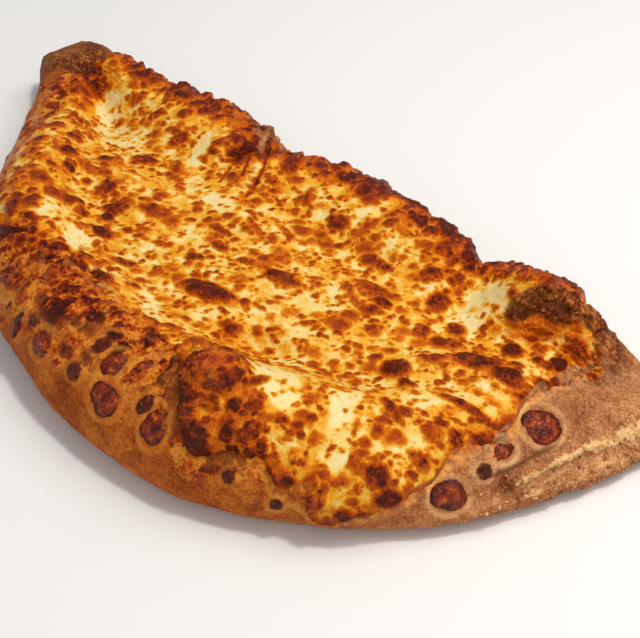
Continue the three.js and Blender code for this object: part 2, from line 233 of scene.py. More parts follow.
def spine(station):
    share = np.clip((station - 0.12) / 0.74, 0, 1)
    x = mix(-LENGTH / 2 + VALLEY_TO_EAR, LENGTH / 2 - VALLEY_TO_TAIL, share)
    return x, mix(-10, -VALLEY_REACH, np.sin(np.pi * share)), share


coarse = np.arange(49) / 48
MIDDLE_Y = -(outline(coarse, True)[1].min() + outline(coarse, False)[1].max()) / 2
print("half width", round(float(outline(coarse, False)[1].max() + MIDDLE_Y), 2), "mm")

# %% [markdown]
# Swellings and dents in the top are soft oval bells: the blown bubble, the hump by the tail, the scoops,
# the crease of the pinch and low ridges under the cheese.

# %% Lumps: x, y, long, wide, angle, high
LUMPS = [
    (50, -58, 16, 14, 20, 12), (112, 65, 22, 15, -25, 9), (84, 55, 17, 12, 70, -6),
    (-110, 43, 22, 17, 35, -6), (-37, 61, 22, 3.2, 62, -6), (-48, 53, 20, 9, 62, 4),
    (-25, 55, 18, 9, 62, 3), (39, -24, 16, 8, 25, -6), (-76, 7, 28, 10, 10, 4),
    (-12, 25, 26, 11, -12, 3), (48, 21, 24, 10, 15, 3), (100, 15, 20, 8, 40, 4), (74, -15, 18, 8, 10, -3),
    (-180, 61, 10, 9, 0, -4.5),
]
for x, y in [(-68, -52), (-57, -57), (-44, -62)]:
    LUMPS += [(x, y, 17, 3, 68, 2.6), (x + 5, y, 17, 2.4, 68, -1.8)]


def lump_height(x, y):
    total = np.zeros_like(x)
    for lump_x, lump_y, long, wide, angle, high in LUMPS:
        turn = math.radians(angle)
        along = (x - lump_x) * math.cos(turn) + (y - lump_y) * math.sin(turn)
        across = (y - lump_y) * math.cos(turn) - (x - lump_x) * math.sin(turn)
        total += high * bell(along, long) * bell(across, wide)
    return total


print("bubble height", round(float(lump_height(np.array(50.0), np.array(-58.0))), 1), "mm")

# %% [markdown]
# The skin joins these rules: a quarter round from the base to the bulge, another up to the crest, then
# a smooth run down into the valley. At the tail the two layers of dough part at a seam.


# %% The skin, and the way out of it
def skin(around, up, lumpy=True):
    around, up = np.broadcast_arrays(np.asarray(around, float) % 2, np.asarray(up, float))
    on_belly = around <= 1
    station = np.where(on_belly, around, 2 - around)
    out_x, out_y = outline(station, on_belly)
    in_x, in_y, share_along = spine(station)
    depth = np.hypot(in_x - out_x, in_y - out_y)
    bulge = mix(TIP_BULGE_HEIGHT, BULGE_HEIGHT, ramp(0, 0.2, station) * ramp(0, 0.4, 1 - station))
    folded = ramp(1, 1 + TIP_CELL, around) * (1 - ramp(2 - TIP_CELL, 2, around))
    crest = mix(belly_crest(station), fold_crest(station), folded)
    shoulder = np.minimum(mix(belly_shoulder(station), FOLD_SHOULDER, folded), depth * 0.55)
    low_turn = np.clip(up / BASE_UP, 0, 1) * (np.pi / 2)
    high_turn = np.clip(up / CREST_UP, 0, 1) * (np.pi / 2)
    share = np.clip((up - CREST_UP) / (1 - CREST_UP), 0, 1)
    runs = np.maximum(1, (depth - shoulder) / VALLEY_RUN)
    inset = np.select(
        [up < BASE_UP, up < 0, up < CREST_UP],
        [mix(BASE_INSET, depth, (up - BASE_UP) / (-1 - BASE_UP)), BASE_INSET * (1 - np.cos(low_turn)),
         shoulder * (1 - np.cos(high_turn))],
        mix(shoulder, depth, share))
    z = np.select(
        [up < BASE_UP, up < 0, up < CREST_UP],
        [0 * up, bulge * (1 - np.sin(low_turn)), mix(bulge, crest, np.sin(high_turn))],
        mix(crest, valley_floor(share_along), ramp(0, 1, share * runs)))
    opened = ramp(0.7, 0.82, station) * (1 - folded) * (1 - ramp(0.3, CREST_UP, up))
    opened = np.where(up < 0, 0, opened)
    inset = inset + opened * SEAM_DEPTH * bell(z - SEAM_HEIGHT, SEAM_WIDTH)
    inset = inset + opened * LAYER_STEP * ramp(SEAM_HEIGHT - 1, SEAM_HEIGHT + 4, z)
    x = mix(out_x, in_x, inset / depth)
    y = mix(out_y, in_y, inset / depth) + MIDDLE_Y
    if lumpy:
        z = z + lump_height(x, y) * ramp(0.12, 0.42, up)
    return np.stack([x, y, z], -1)


def unit(vectors):
    return vectors / np.maximum(np.linalg.norm(vectors, axis=-1, keepdims=True), 1e-12)


def out_of(around, up):
    """The direction out of the skin, lumps left aside."""
    around, up = np.broadcast_arrays(np.asarray(around, float), np.asarray(up, float))
    step = 0.004
    along = skin(around + step, up, False) - skin(around - step, up, False)
    over = skin(around, np.minimum(up + step, 1), False) - skin(around, np.maximum(up - step, -1), False)
    rise = np.array([0, 0, 1.0])
    out = unit(np.cross(along, over))
    out = unit(mix(out, rise, ramp(0.35, 0.6, up)[..., None]))
    return np.where((up < BASE_UP)[..., None], -rise, out)


print("tail tip", skin(1.0, 0.0).round(1), "mm")

# %% [markdown]
# ## From rules to a fine mesh
# The skin is a stack of rings, each running once round the dough. Its first and last ring lie on the
# line under the valley and have no width, so they are closed by merging their doubled corners. Each
# point also keeps where it lay before any relief, as `rest`, so that patterns stay put on it.


# %% Rings to a mesh
STATIONS = 480
AROUND = np.arange(2 * STATIONS) / STATIONS
MERGED = 1e-6  # metres: points closer than this become one


def ring_faces(rings, count):
    """The four-sided faces between neighbouring rings of count points each."""
    start = np.arange(rings - 1)[:, None] * count
    here, after = start + np.arange(count), start + (np.arange(count) + 1) % count
    return np.stack([here, after, after + count, here + count], -1).reshape(-1, 4)


def closed_piece(name, points, faces, fields):
    """A closed mesh from points in millimetres, with a value for each point of each field."""
    mesh = bpy.data.meshes.new(name)
    mesh.from_pydata((points * MM).reshape(-1, 3).tolist(), [], faces)
    for field, values in fields.items():
        kind, part = ("FLOAT_VECTOR", "vector") if field == "rest" else ("FLOAT", "value")
        made = mesh.attributes.new(field, kind, "POINT")
        made.data.foreach_set(part, values.ravel().astype(np.float32))
    shell = bmesh.new()
    shell.from_mesh(mesh)
    bmesh.ops.remove_doubles(shell, verts=shell.verts, dist=MERGED)
    bmesh.ops.dissolve_degenerate(shell, edges=shell.edges, dist=MERGED / 10)
    bmesh.ops.recalc_face_normals(shell, faces=shell.faces)
    shell.to_mesh(mesh)
    shell.free()
    mesh.shade_smooth()
    piece = bpy.data.objects.new(name, mesh)
    bpy.context.scene.collection.objects.link(piece)
    print(name, len(mesh.vertices), "points")
    return piece


def ring_piece(name, rings, **fields):
    """A closed piece from a stack of rings."""
    return closed_piece(name, rings, ring_faces(*rings.shape[:2]).tolist(), fields)


print("one step of a ring:", round(LENGTH / STATIONS, 2), "mm")

# %% [markdown]
# ## Patches, spots and strokes
# Where the calzone is toasted, pale, floury or blistered is written as soft ovals. A top patch is placed
# by x and y; a rim patch by how far around and how far up the skin it lies, because there x and y
# hardly change while the wall climbs. The distance to a patch is measured in its own half-lengths, so 1
# is its outline.


# %% Distance to an oval patch
UPWARDS = np.array([0, 0, 1.0])
STEP = 0.002
OVAL_DEPTH = 14  # half a rim patch's reach through the skin, so that it doesn't show on the far side


def oval_distance(points, centre, out, side, long, wide, angle):
    turn = math.radians(angle)
    if side is None:
        side = np.array([math.cos(turn), math.sin(turn), 0])
        side = unit(side - out * side.dot(out))
    else:
        side = side * math.cos(turn) + np.cross(out, side) * math.sin(turn)
    away = points - centre
    lengthways, crossways = away @ side / long, away @ np.cross(out, side) / wide
    off = 0 if out is UPWARDS else away @ out / OVAL_DEPTH
    return np.sqrt(lengthways**2 + crossways**2 + off**2)


def on_top(x, y):
    """An oval placed by x and y; its angle is measured from x."""
    return np.array([x, y, 0.0]), UPWARDS, None


def on_rim(around, up):
    """An oval placed by around and up; its angle is measured from x."""
    return skin(around, up), out_of(around, up), None


def along_rim(around, up):
    """The same, but its angle is measured from the rim's own direction."""
    out = out_of(around, up)
    side = skin(around + STEP, up) - skin(around - STEP, up)
    return skin(around, up), out, unit(side - out * side.dot(out))


print("one oval:", oval_distance(np.array([5.0, 0, 0]), np.zeros(3), UPWARDS, None, 5, 2, 0))

# %% [markdown]
# Many patches make one field. Some fields take the strongest patch at each point, some add them all up.
# Domes, rings round an oval and strokes between places on the rim come from the same distances.


# %% Fields from patches
def ovals(points, patches, place):
    """Each patch's amount, every point's distance to it, and its smaller half length."""
    for first, second, long, wide, angle, amount in patches:
        yield amount, oval_distance(points, *place(first, second), long, wide, angle), min(long, wide)


def largest(arrays):
    return functools.reduce(np.maximum, arrays)


def strongest(points, patches, place, near, far):
    """The strongest of many patches at each point; each fades out between near and far."""
    return largest(amount * (1 - ramp(near, far, d)) for amount, d, _ in ovals(points, patches, place))


def summed(points, patches, place):
    """Broad soft patches added up."""
    return sum(amount * bell(d, 1) for amount, d, _ in ovals(points, patches, place))


def plateaus(points, patches, place):
    """Patches with a clear outline, added up."""
    return sum(amount * (1 - ramp(0.6, 1.15, d)) for amount, d, _ in ovals(points, patches, place))


def domes(points, blisters, place):
    """How high each point is lifted by the blisters, in millimetres."""
    return largest(high * np.clip(1 - d**2, 0, 1) ** 0.7 for high, d, _ in ovals(points, blisters, place))


def halo(points, patches, place, gap=0.9, wide=0.8):
    """A thin ring round each oval, gap millimetres outside its outline."""
    return largest(bell((d - 1) * half - gap, wide) for _, d, half in ovals(points, patches, place))


def stroke(points, knots, wide):
    """1 on a line through places on the rim, fading over its half width."""
    path = skin(*np.array(knots, float).T)
    nearest = np.full(points.shape[:-1], np.inf)
    for start, end in zip(path, path[1:]):
        run = end - start
        share = np.clip((points - start) @ run / run.dot(run), 0, 1)
        nearest = np.minimum(nearest, np.linalg.norm(points - start - share[..., None] * run, axis=-1))
    return bell(nearest, wide)


def stroke_fields(points, strokes):
    """Every stroke at every point, and the numbers that follow each one's places and half width."""
    lines = np.array([stroke(points, knots, wide) for knots, wide, *_ in strokes])
    numbers = np.array([row[2:] for row in strokes]).T
    return lines, numbers[..., None, None]


print("a stroke, 1 mm off its line:", round(float(bell(1, 1.3)), 2))

# %% [markdown]
# ## How the cheese browned
# Cheese browns where it blisters: the thin tops of bubbles turn orange, then red-brown, then nearly
# black, while what pools between them stays cream. The largest spots are placed one by one; the
# hundreds of small ones come from a cell pattern later. The lists give x, y or around, up; then half
# lengths, the turn and how dark.

# %% Dark spots on the cheese
DARK_TOP = [
    (-70, -48, 14, 3, 0, 1), (-102, 12, 4.5, 3, 20, 0.9), (-95, 2, 5, 3.5, 60, 0.95),
    (-88, -4, 3.5, 2.5, 0, 1), (-86, 16, 5, 4, 60, 0.9), (-84, 4, 9, 3.5, 10, 0.7),
    (-74, 28, 8, 4, 20, 0.9), (-70, 2, 5, 4, 10, 0.9), (-78, 7, 5, 3, 0, 0.8),
    (-71, -15, 4, 3, 0, 0.9), (-65, -18, 4, 4, 0, 0.85), (-60, -6, 5, 3, 30, 0.9),
    (-56, -3, 4, 3, 30, 0.85), (-57, -11, 4, 3, 0, 0.95), (-45, 5, 10, 5, 20, 0.78),
    (-36, 4, 7, 3, -10, 0.65), (-50, -20, 5, 3.5, 20, 0.95), (-106, 56, 6, 3.5, 60, 0.75),
    (-90, 52, 5, 3, 60, 0.8), (-87, 66, 6, 3.5, 10, 0.95), (-70, 46, 6, 4, 60, 0.8),
    (-130, 46, 3, 3, 0, 0.7), (-12, -5, 5, 3.5, 20, 0.9), (6, -16, 14.5, 6, 14, 1),
    (-15, 14, 8, 2.5, 0, 0.75), (-4, 23, 7, 2.5, -20, 0.7), (7, 31, 7, 2.5, -20, 0.7),
    (-9, 7, 6, 3, 0, 0.8), (5, 13, 3, 2, 0, 0.75), (15, 19, 8, 4, -30, 0.6), (12, 9, 10, 2.5, 0, 0.6),
    (23, 9, 11, 4, 10, 0.85), (20, 49, 6, 5, 10, 0.9), (22, 38, 10, 4, -30, 0.65),
    (0, 52, 5, 4, 40, 0.75), (-19, 51, 5, 3, 0, 0.7), (48, 42, 7, 3, 10, 0.8),
    (55, 29, 12, 5, 10, 0.72), (62, 25, 5, 3, 10, 0.95), (52, 19, 9, 2, -30, 0.7),
    (7, 70, 6, 4, 0, 0.9), (20, 73, 6, 4, 0, 0.85), (47, 68, 7, 4, -20, 0.9), (57, 73, 9, 4, -30, 0.95),
    (69, 71, 4, 3, 0, 0.9), (65, 62, 4, 3, 0, 0.8), (80, 74, 9, 5, 0, 0.95), (76, 65, 4, 4, 0, 0.85),
    (67, 50, 7, 4, 60, 0.85), (77, 43, 7, 5, 80, 0.9), (91, 36, 5, 4, 0, 0.9), (82, 25, 5, 4, 90, 0.8),
    (95, 28, 5, 4, 0, 0.8), (108, 24, 11, 6, 30, 0.95), (122, 24, 9, 6, -10, 0.95),
    (115, 40, 5, 4, 10, 1), (126, 42, 4, 2.5, 0, 0.9), (88, 0, 7, 6.5, 0, 1), (97, -5, 4.5, 4, 0, 0.95),
    (94, 12, 5, 2.5, 10, 0.85), (134, 57, 6, 4, 0, 0.8), (131.5, 46, 3.4, 3.4, 0, 1.5),
]
DARK_RIM = [
    (0.765, 0.44, 15, 2.5, 10, 0.85), (0.738, 0.345, 5, 4, 0, 0.75), (0.756, 0.315, 5, 4, 0, 0.8),
    (0.73, 0.26, 6, 3, 0, 0.85), (0.776, 0.28, 4, 6, 0, 0.8), (0.702, 0.215, 6, 5, 0, 0.95),
    (0.712, 0.13, 7, 5, 20, 0.95), (0.69, 0.235, 4, 3, 0, 0.7), (0.684, 0.05, 5, 4, 0, 0.9),
    (0.698, 0.05, 5, 3, 0, 0.85), (0.664, 0.1, 5, 4, 80, 0.8), (0.662, -0.04, 4, 3, 0, 1),
    (0.71, 0.43, 9, 3, -20, 0.85), (0.579, 0.225, 8, 7, 60, 1), (0.585, 0.185, 6, 4.5, 60, 1),
    (0.6, 0.27, 2.8, 2.6, 0, 1.1), (0.6, 0.325, 3, 3, 0, 0.9), (0.57, 0.3, 6, 4, 60, 0.8),
    (0.61, 0.42, 6, 2, 80, 0.9), (0.588, 0.46, 9, 2.4, 20, 0.85), (0.566, 0.42, 5, 3, 60, 0.8),
    (0.616, 0.29, 4, 4.5, 0, 0.85), (0.625, 0.25, 3.4, 3, 0, 0.9), (0.36, 0.69, 5, 4, 0, 1),
    (0.607, 0.22, 3.6, 3, 0, 0.9), (0.618, 0.225, 3, 2.6, 0, 0.85), (0.645, 0.16, 4, 3, 30, 0.85),
    (0.34, 0.8, 5, 4, 30, 0.9), (0.41, 0.69, 8, 2.5, 20, 0.85), (0.505, 0.36, 8, 3, 60, 0.7),
]
print("placed spots:", len(DARK_TOP) + len(DARK_RIM))

# %% [markdown]
# Broad patches say how strongly a whole region was heated: the rims and the blown bubble most, the
# valley least. Pale pools are negative patches.

# %% Heat of the regions
HEAT_TOP = [
    (-100, 20, 30, 24, 0, 0.04), (-112, 50, 18, 14, -20, -0.08), (-138, 52, 12, 10, -30, 0.6),
    (-25, 29, 9, 6, 40, -0.15), (24, 60, 6, 6, 0, -0.2), (96, 54, 16, 8, -15, -0.4),
    (99, -49, 8, 5, -30, -0.25), (31, 2, 9, 7, 0, -0.2), (45, 6, 9, 5, 0, -0.2),
    (112, 62, 20, 12, -25, 0.1), (116, 30, 20, 14, 20, 0.18), (-40, 60, 12, 9, 60, 0.5),
    (36, -38, 12, 6, 10, 0.25), (-58, -4, 12, 8, 0, 0.15), (128, 54, 10, 8, 0, 0.1),
    (86, -56, 15, 9, 20, 0.14), (97, -60, 9, 7, 0, 0.12),
]
HEAT_RIM = [
    (0.42, 0.37, 26, 13, -55, 0.5), (0.34, 0.3, 18, 12, -60, 0.4), (0.26, 0.4, 30, 14, -70, 0.14),
    (0.5, 0.4, 12, 9, -40, 0.25), (0.15, 0.5, 26, 14, 90, 0.1), (0.552, 0.46, 12, 9, 0, 0.3),
    (0.7, 0.1, 16, 8, 0, 0.12), (0.77, 0.3, 14, 8, 10, 0.2), (0.557, 0.33, 12, 10, 0, 0.4),
    (0.62, 0.22, 16, 8, 0, 0.3), (1.16, 0.6, 12, 10, 0, 0.25), (0.3, 0.45, 14, 12, 0, 0.2),
]
# with a clear outline: the pools, less than 0, and the blown bubble, more
POOLS_TOP = [
    (-118, 47, 12, 6, -40, -0.6), (-97, 36, 16, 8.5, 18, -0.6), (-71, -31, 11, 4, -36, -0.35),
    (-51, -33, 8, 6, -29, -0.75), (-56, 44, 12, 4, -69, -0.4), (-29, 27, 12, 5, -7, -0.3),
    (4, 55, 8, 4, -40, -0.3), (29, 60, 12, 5, 76, -0.35), (92, 49, 17, 6, -80, -0.55),
    (63, -42, 14, 9, -25, -0.8), (-4, -39, 12, 4, -39, -0.35), (88, -31, 12, 5, -81, -0.45),
    (109, -5, 12, 4, 56, -0.4), (99, -48, 5, 3, 86, -0.4), (114, -27, 8, 4, 56, -0.3),
    (-16, -13, 6, 3, 79, -0.35), (7, -16, 6, 3, 55, -0.35), (125, 50, 4.5, 3.5, -10, -0.4),
    (122, 56, 16, 9, 32, -0.1),
]
POOLS_RIM = [(0.59, 0.34, 17, 18, 0, 0.34)]
DEEPEST_POOL = -0.8
BASE_WARMTH, FOLD_WARMTH, EDGE_WARMTH = 0.42, 0.49, 0.22


def heat(points, around, up, from_edge):
    fold_side = ramp(1.12, 1.2, around) * (1 - ramp(1.86, 1.94, around))
    total = BASE_WARMTH + FOLD_WARMTH * fold_side * (1 - ramp(0.32, 0.56, up))
    total = total + EDGE_WARMTH * (1 - ramp(1, 9, from_edge)) + summed(points, HEAT_TOP, on_top)
    total = total + np.maximum(plateaus(points, POOLS_TOP, on_top), DEEPEST_POOL)
    total = total + plateaus(points, POOLS_RIM, on_rim) + summed(points, HEAT_RIM, on_rim)
    return np.clip(total, 0, 1)


print("heated regions:", len(HEAT_TOP) + len(HEAT_RIM))

# %% [markdown]
# ## The cheese sheet's blisters
# Melted cheese throws up bubbles where steam lifts it. Each is a low dome; those the solid has are
# placed just as there, with the crisp bumps along the outer edge of the fold drawn from the same seed.

# %% Blisters and crags
cheese_end = through((0, 0.68), (0.05, 0.64), (0.13, 0.44), (0.18, 0.38), (0.22, 0.29), (0.28, 0.19),
                     (0.32, 0.24), (0.35, 0.4), (0.38, 0.5), (0.44, 0.52), (0.49, 0.5), (0.53, 0.46),
                     (0.55, 0.4), (0.575, 0.2), (0.6, 0.2), (0.62, 0.23), (0.64, 0.13), (0.655, 0.04),
                     (0.67, -0.06), (0.685, 0), (0.71, 0.07), (0.735, 0.16), (0.76, 0.25), (0.8, 0.32),
                     (0.83, 0.45), (0.87, 0.54), (0.93, 0.62), (1, 0.66), (1.05, 0.6), (1.12, 0.34),
                     (1.2, 0.2), (1.4, 0.16), (1.6, 0.18), (1.8, 0.2), (1.9, 0.3), (1.95, 0.56), (2, 0.68))
# around, up, long, wide, angle, high
BLISTERS = [
    (0.716, 0.68, 6.5, 6, 0, 3.6), (0.724, 0.56, 4, 4, 0, 2.2), (0.512, 0.82, 15, 4, 14, 2.8),
    (0.812, 0.59, 6, 4, 20, 2.8), (0.828, 0.89, 5, 4, 0, 2.4), (0.856, 0.73, 3, 3, 0, 2.2),
    (0.792, 0.55, 8, 5, 35, 2.6), (0.572, 0.28, 7, 5, 75, 2.2), (0.588, 0.25, 7, 6, 60, 2.4),
    (0.604, 0.29, 3, 3, 0, 2), (0.712, 0.2, 6, 4.5, 0, 2.4), (0.668, 0.11, 4, 4, 0, 2),
    (0.65, 0.19, 4, 3, 0, 2), (0.756, 0.72, 4, 3, 0, 2), (0.748, 0.36, 4.5, 4.5, 0, 2),
    (1.28, 0.72, 4, 3, 0, 2.2), (1.304, 0.58, 3.5, 5, 0, 2.2), (0.376, 0.66, 4.5, 3.5, 0, 2.4),
    (0.32, 0.63, 4, 4, 0, 2.2), (0.356, 0.65, 3, 3, 0, 2), (0.352, 0.87, 7, 4, 20, 2.4),
    (0.264, 0.94, 5, 3, 0, 2), (1.68, 0.76, 4, 4, 0, 2), (1.584, 0.46, 4, 3, 0, 2),
    (0.468, 0.92, 3.5, 3.5, 0, 2), (1.436, 0.96, 6, 3, 10, 2), (0.88, 0.725, 2.7, 2.7, 0, 2.6),
]
CRAGS = 16


def draws(seed):
    """The same repeatable draws between 0 and 1 as the solid's."""
    while True:
        seed = seed * 16807 % 2147483647
        yield seed / 2147483647


draw = draws(41)
for i in range(CRAGS):
    place = mix(1.18, 1.9, (i + 0.6 * next(draw)) / CRAGS)
    crag_up = float(cheese_end(place)) + mix(0.03, 0.13, next(draw))
    long, wide = mix(3, 5.5, next(draw)), mix(2.5, 4, next(draw))
    high = mix(1.8, 2.8, next(draw))
    BLISTERS.append((place, crag_up, long, wide, mix(-30, 30, next(draw)), high))

grains = np.random.default_rng(7)
for place in np.linspace(1.15, 1.92, 64):
    place = float(place + grains.uniform(-0.005, 0.005))
    crag_up = float(cheese_end(place)) + grains.uniform(0.02, 0.2)
    long, wide, high = grains.uniform([1.5, 1.3, 0.9], [3.2, 2.4, 1.9])
    BLISTERS.append((place, crag_up, long, wide, grains.uniform(-60, 60), high))


print("blisters:", len(BLISTERS))

# %% [markdown]
# ## The cheese sheet
# The sheet could be a copy of the dough's top made thick by a modifier, but its edge would be square.
# Here its upper face starts just inside the dough at a ragged outline, bulges to a lip a few
# millimetres further in, and follows the dough at an even thickness; its lower face lies on the dough.
# First come the places where it looks different: dry toast on the highest humps, an orange glow where
# oil fried it, and bare dough where it is thinnest.

# %% Toast, glow and bare dough
# x, y or around, up; long, wide, angle, amount
TOASTED_TOP = [
    (109, 54, 9, 5, 40, 1), (120, 61, 10, 6, 36, 1), (131, 68, 10, 6, 30, 1), (140, 73, 8, 6, 20, 1),
    (-147, 57, 9, 7, 89, 0.9), (51, -62, 5, 4, 20, 0.6),
]
GLOW_TOP = [
    (119, 54, 13, 5, 32, 0.9), (112, 50, 7, 4, 40, 0.6), (134, 60, 6, 4, -40, 0.4),
    (46, -68, 11, 8, 60, 0.9), (62, -68, 8, 6, 30, 0.8),
]
BARE_TOP = [(144, 52, 6, 14, 0, 0.9)]
BARE_RIM = [
    (1.65, 0.24, 8, 7, 0, 0.9), (1.632, 0.2, 10, 9, 0, 1), (1.604, 0.22, 9, 7, 0, 0.9),
    (1.626, 0.37, 4, 3, 0, 0.8), (0.655, 0.11, 7, 6, 0, 0.9),
]
print("toasted, glowing and bare patches:", len(TOASTED_TOP + GLOW_TOP + BARE_TOP + BARE_RIM))

# %% [markdown]
# Melted cheese also hangs in folds and strands. Each is a stroke between places on the rim. The first
# six make the fold that is pinched shut. A dark fold's darkness is partly browned cheese and partly
# painted shade in the fold.

# %% Folds and strands
# places on the rim, half width, how dark (partly painted shade in the fold), how bare, how pale, how high
STROKES = [
    (((1.612, 0.27), (1.602, 0.36), (1.59, 0.45), (1.58, 0.53), (1.573, 0.6),
      (1.57, 0.67)), 1.3, 1, 0, 0, -2.4),
    (((1.64, 0.16), (1.626, 0.3), (1.618, 0.38), (1.61, 0.43)), 1.7, 0, 1, 0, 1.2),
    (((1.588, 0.53), (1.583, 0.58), (1.579, 0.64)), 0.65, 0, 0, 0.8, 0.2),
    (((1.613, 0.45), (1.602, 0.52), (1.592, 0.6)), 1.2, 0.95, 0, 0, -1.2),
    (((1.622, 0.52), (1.614, 0.6), (1.61, 0.68)), 1.1, 0.85, 0, 0, -0.9),
    (((1.606, 0.48), (1.597, 0.56), (1.588, 0.64)), 1.2, 0.3, 0, 0, 1.1),
    (((0.404, 0.46), (0.408, 0.51), (0.412, 0.57), (0.424, 0.61), (0.436, 0.64),
      (0.448, 0.67)), 0.7, 0, 0, 0.5, 0.6),
    (((0.416, 0.47), (0.432, 0.51), (0.444, 0.53), (0.456, 0.52), (0.472, 0.49),
      (0.48, 0.47)), 0.8, 0, 0, 0.55, 0.5),
    (((0.414, 0.5), (0.43, 0.55), (0.444, 0.57), (0.46, 0.56)), 0.8, 0.65, 0, 0, -0.6),
    (((0.42, 0.64), (0.434, 0.67), (0.446, 0.7)), 0.7, 0.6, 0, 0, -0.5),
    (((0.955, 0.72), (0.93, 0.66), (0.912, 0.63), (0.89, 0.64)), 0.7, 0, 0, 0.4, 0.6),
]
print("strokes:", len(STROKES))

# %% [markdown]
# The outline is the solid's, made ragged by a few sine waves and cut back on both sides of the bubble.
# Points start close together at the edge, where the sheet bends most.

# %% The sheet's rings
UPPER_RINGS, LOWER_RINGS = 82, 22
CROWDED = 1.1  # a power above 1 crowds the rings towards the edge
SHEET_SUNK, EDGE_SUNK, LIP, BODY = 0.4, 0.5, 0.95, 2.35
RAGGED = [
    (17, 0.010, 0.3), (29, 0.010, 1.9), (41, 0.008, 4.1), (63, 0.007, 2.7), (97, 0.005, 5.2),
]
edge_slope = through(
    (0, 9), (0.25, 9), (0.33, 20), (0.5, 22), (0.56, 14), (0.66, 16), (0.8, 12), (0.9, 16), (1, 18),
    (1.1, 16), (1.2, 9), (1.9, 9), (2, 9),
)
ragged_end = cheese_end(AROUND)
for lobes, depth, phase in RAGGED:
    ragged_end = ragged_end + depth * np.sin(np.pi * lobes * AROUND + phase)
ragged_end = ragged_end - 0.045 * bell(AROUND - 0.617, 0.012) + 0.045 * bell(AROUND - 0.654, 0.01)

upper_up = mix(ragged_end, 1, np.linspace(0, 1, UPPER_RINGS)[:, None] ** CROWDED)
upper_rest = skin(AROUND, upper_up)
steps = np.linalg.norm(np.diff(upper_rest, axis=0), axis=-1)
from_edge = np.concatenate([np.zeros((1, len(AROUND))), np.cumsum(steps, axis=0)])
height = LIP * ramp(-0.6, 1.2, from_edge) + BODY * ramp(0.6, edge_slope(AROUND), from_edge) - SHEET_SUNK
upper = upper_rest + out_of(AROUND, upper_up) * height[..., None]

lower_share = np.linspace(1, 0, LOWER_RINGS)[:, None]
lower_up = mix(ragged_end, 1, lower_share)
lower_rest = skin(AROUND, lower_up)
sunk = np.where(lower_share > 0, SHEET_SUNK, EDGE_SUNK)
lower = lower_rest - out_of(AROUND, lower_up) * sunk[..., None]
print("thickest cheese:", round(float(height.max()) + SHEET_SUNK, 2), "mm")

# %% [markdown]
# Every point of the sheet also stores what its finish needs: how warm, spotted, toasted, bare or pale it
# is, and how far it is lifted.

# %% The sheet's fields
sheet_rest = np.concatenate([lower_rest, upper_rest])
sheet_up = np.concatenate([np.broadcast_to(lower_up, lower_rest.shape[:2]), upper_up])
sheet_around = np.broadcast_to(AROUND, sheet_up.shape)
sheet_edge = np.concatenate([np.zeros(lower_up.shape), from_edge])
on_upper = np.concatenate([np.zeros(lower_up.shape), np.ones(upper_up.shape)])


def between(low, full, last, gone, value):
    """Rises from low to full and falls from last to gone."""
    return ramp(low, full, value) * (1 - ramp(last, gone, value))


spots = np.maximum(strongest(sheet_rest, DARK_TOP, on_top, 0.5, 1.3) * ramp(0.1, 0.2, sheet_up),
                   strongest(sheet_rest, DARK_RIM, on_rim, 0.5, 1.3))
lines, (darks, bares, pales, highs) = stroke_fields(sheet_rest, STROKES)
# the folds' darkness, partly painted shade, is laid into the cheese's dark spots
stroke_dark = (lines * darks).max(axis=0)
by_bubble = between(0.535, 0.56, 0.58, 0.6, sheet_around) * (1 - ramp(1, 4, sheet_edge))
by_border = between(0.64, 0.68, 0.83, 0.86, sheet_around) * (1 - ramp(0.5, 4.5, sheet_edge))
by_tail = between(0.84, 0.87, 1.0, 1.03, sheet_around) * (1 - ramp(3, 9, sheet_edge))
bare = np.maximum(plateaus(sheet_rest, BARE_TOP, on_top), plateaus(sheet_rest, BARE_RIM, on_rim))
bare = largest([bare * (1 - stroke_dark), (lines * bares).max(axis=0), 0.6 * by_bubble, 0.8 * by_border,
                by_tail])
sheet = ring_piece(
    "melted_cheese", np.concatenate([lower, upper]),
    rest=sheet_rest * MM,
    warmth=heat(sheet_rest, sheet_around, sheet_up, sheet_edge),
    spot=np.maximum(spots, stroke_dark),
    crags=between(1.12, 1.2, 1.86, 1.94, sheet_around) * (1 - ramp(0.42, 0.6, sheet_up)),
    pale=(lines * pales).max(axis=0),
    lift=(0.7 * domes(sheet_rest, BLISTERS, on_rim) + (lines * highs).sum(axis=0)) * on_upper * MM,
    edge=np.minimum(sheet_edge, 20) * MM,
    face=on_upper,
    char=plateaus(sheet_rest, TOASTED_TOP, on_top),
    glow=plateaus(sheet_rest, GLOW_TOP, on_top),
    bare=bare * (1 - ramp(0.3, 0.8, spots)),
    tail=ramp(0.7, 0.8, sheet_around))

# %% [markdown]
# ## Helpers for node trees
# Geometry Nodes and shaders share their texture nodes, so one recipe can raise the blisters in the mesh
# and colour them in the material, and both always agree. Each node could be wired by hand, but a recipe
# of fifty nodes would be hard to read. So an output is wrapped as a Wire, which can be added and
# multiplied like a number, and each sign adds one Math node.


# %% Wires
class Wire:
    """One output of a node. A sum, difference or product of wires adds the node that works it out."""

    def __init__(self, socket):
        self.socket, self.tree = socket, socket.id_data

    def other(self, name):
        """Another output of the same node."""
        return Wire(self.socket.node.outputs[name])

    def __add__(self, value):
        return maths("ADD", self, value)

    def __sub__(self, value):
        return maths("SUBTRACT", self, value)

    def __rsub__(self, value):
        return maths("SUBTRACT", value, self)

    def __mul__(self, value):
        return maths("MULTIPLY", self, value)

    __radd__, __rmul__ = __add__, __mul__


def add(tree, kind, inputs=None, out=0, **settings):
    """Adds a node with its settings and inputs, each a wire or a plain value, and gives one output."""
    made = tree.nodes.new(kind)
    for name, value in settings.items():
        setattr(made, name, value)
    for key, value in (inputs or {}).items():
        if isinstance(value, Wire):
            tree.links.new(value.socket, made.inputs[key])
        else:
            made.inputs[key].default_value = value
    return Wire(made.outputs[out]) if made.outputs else None


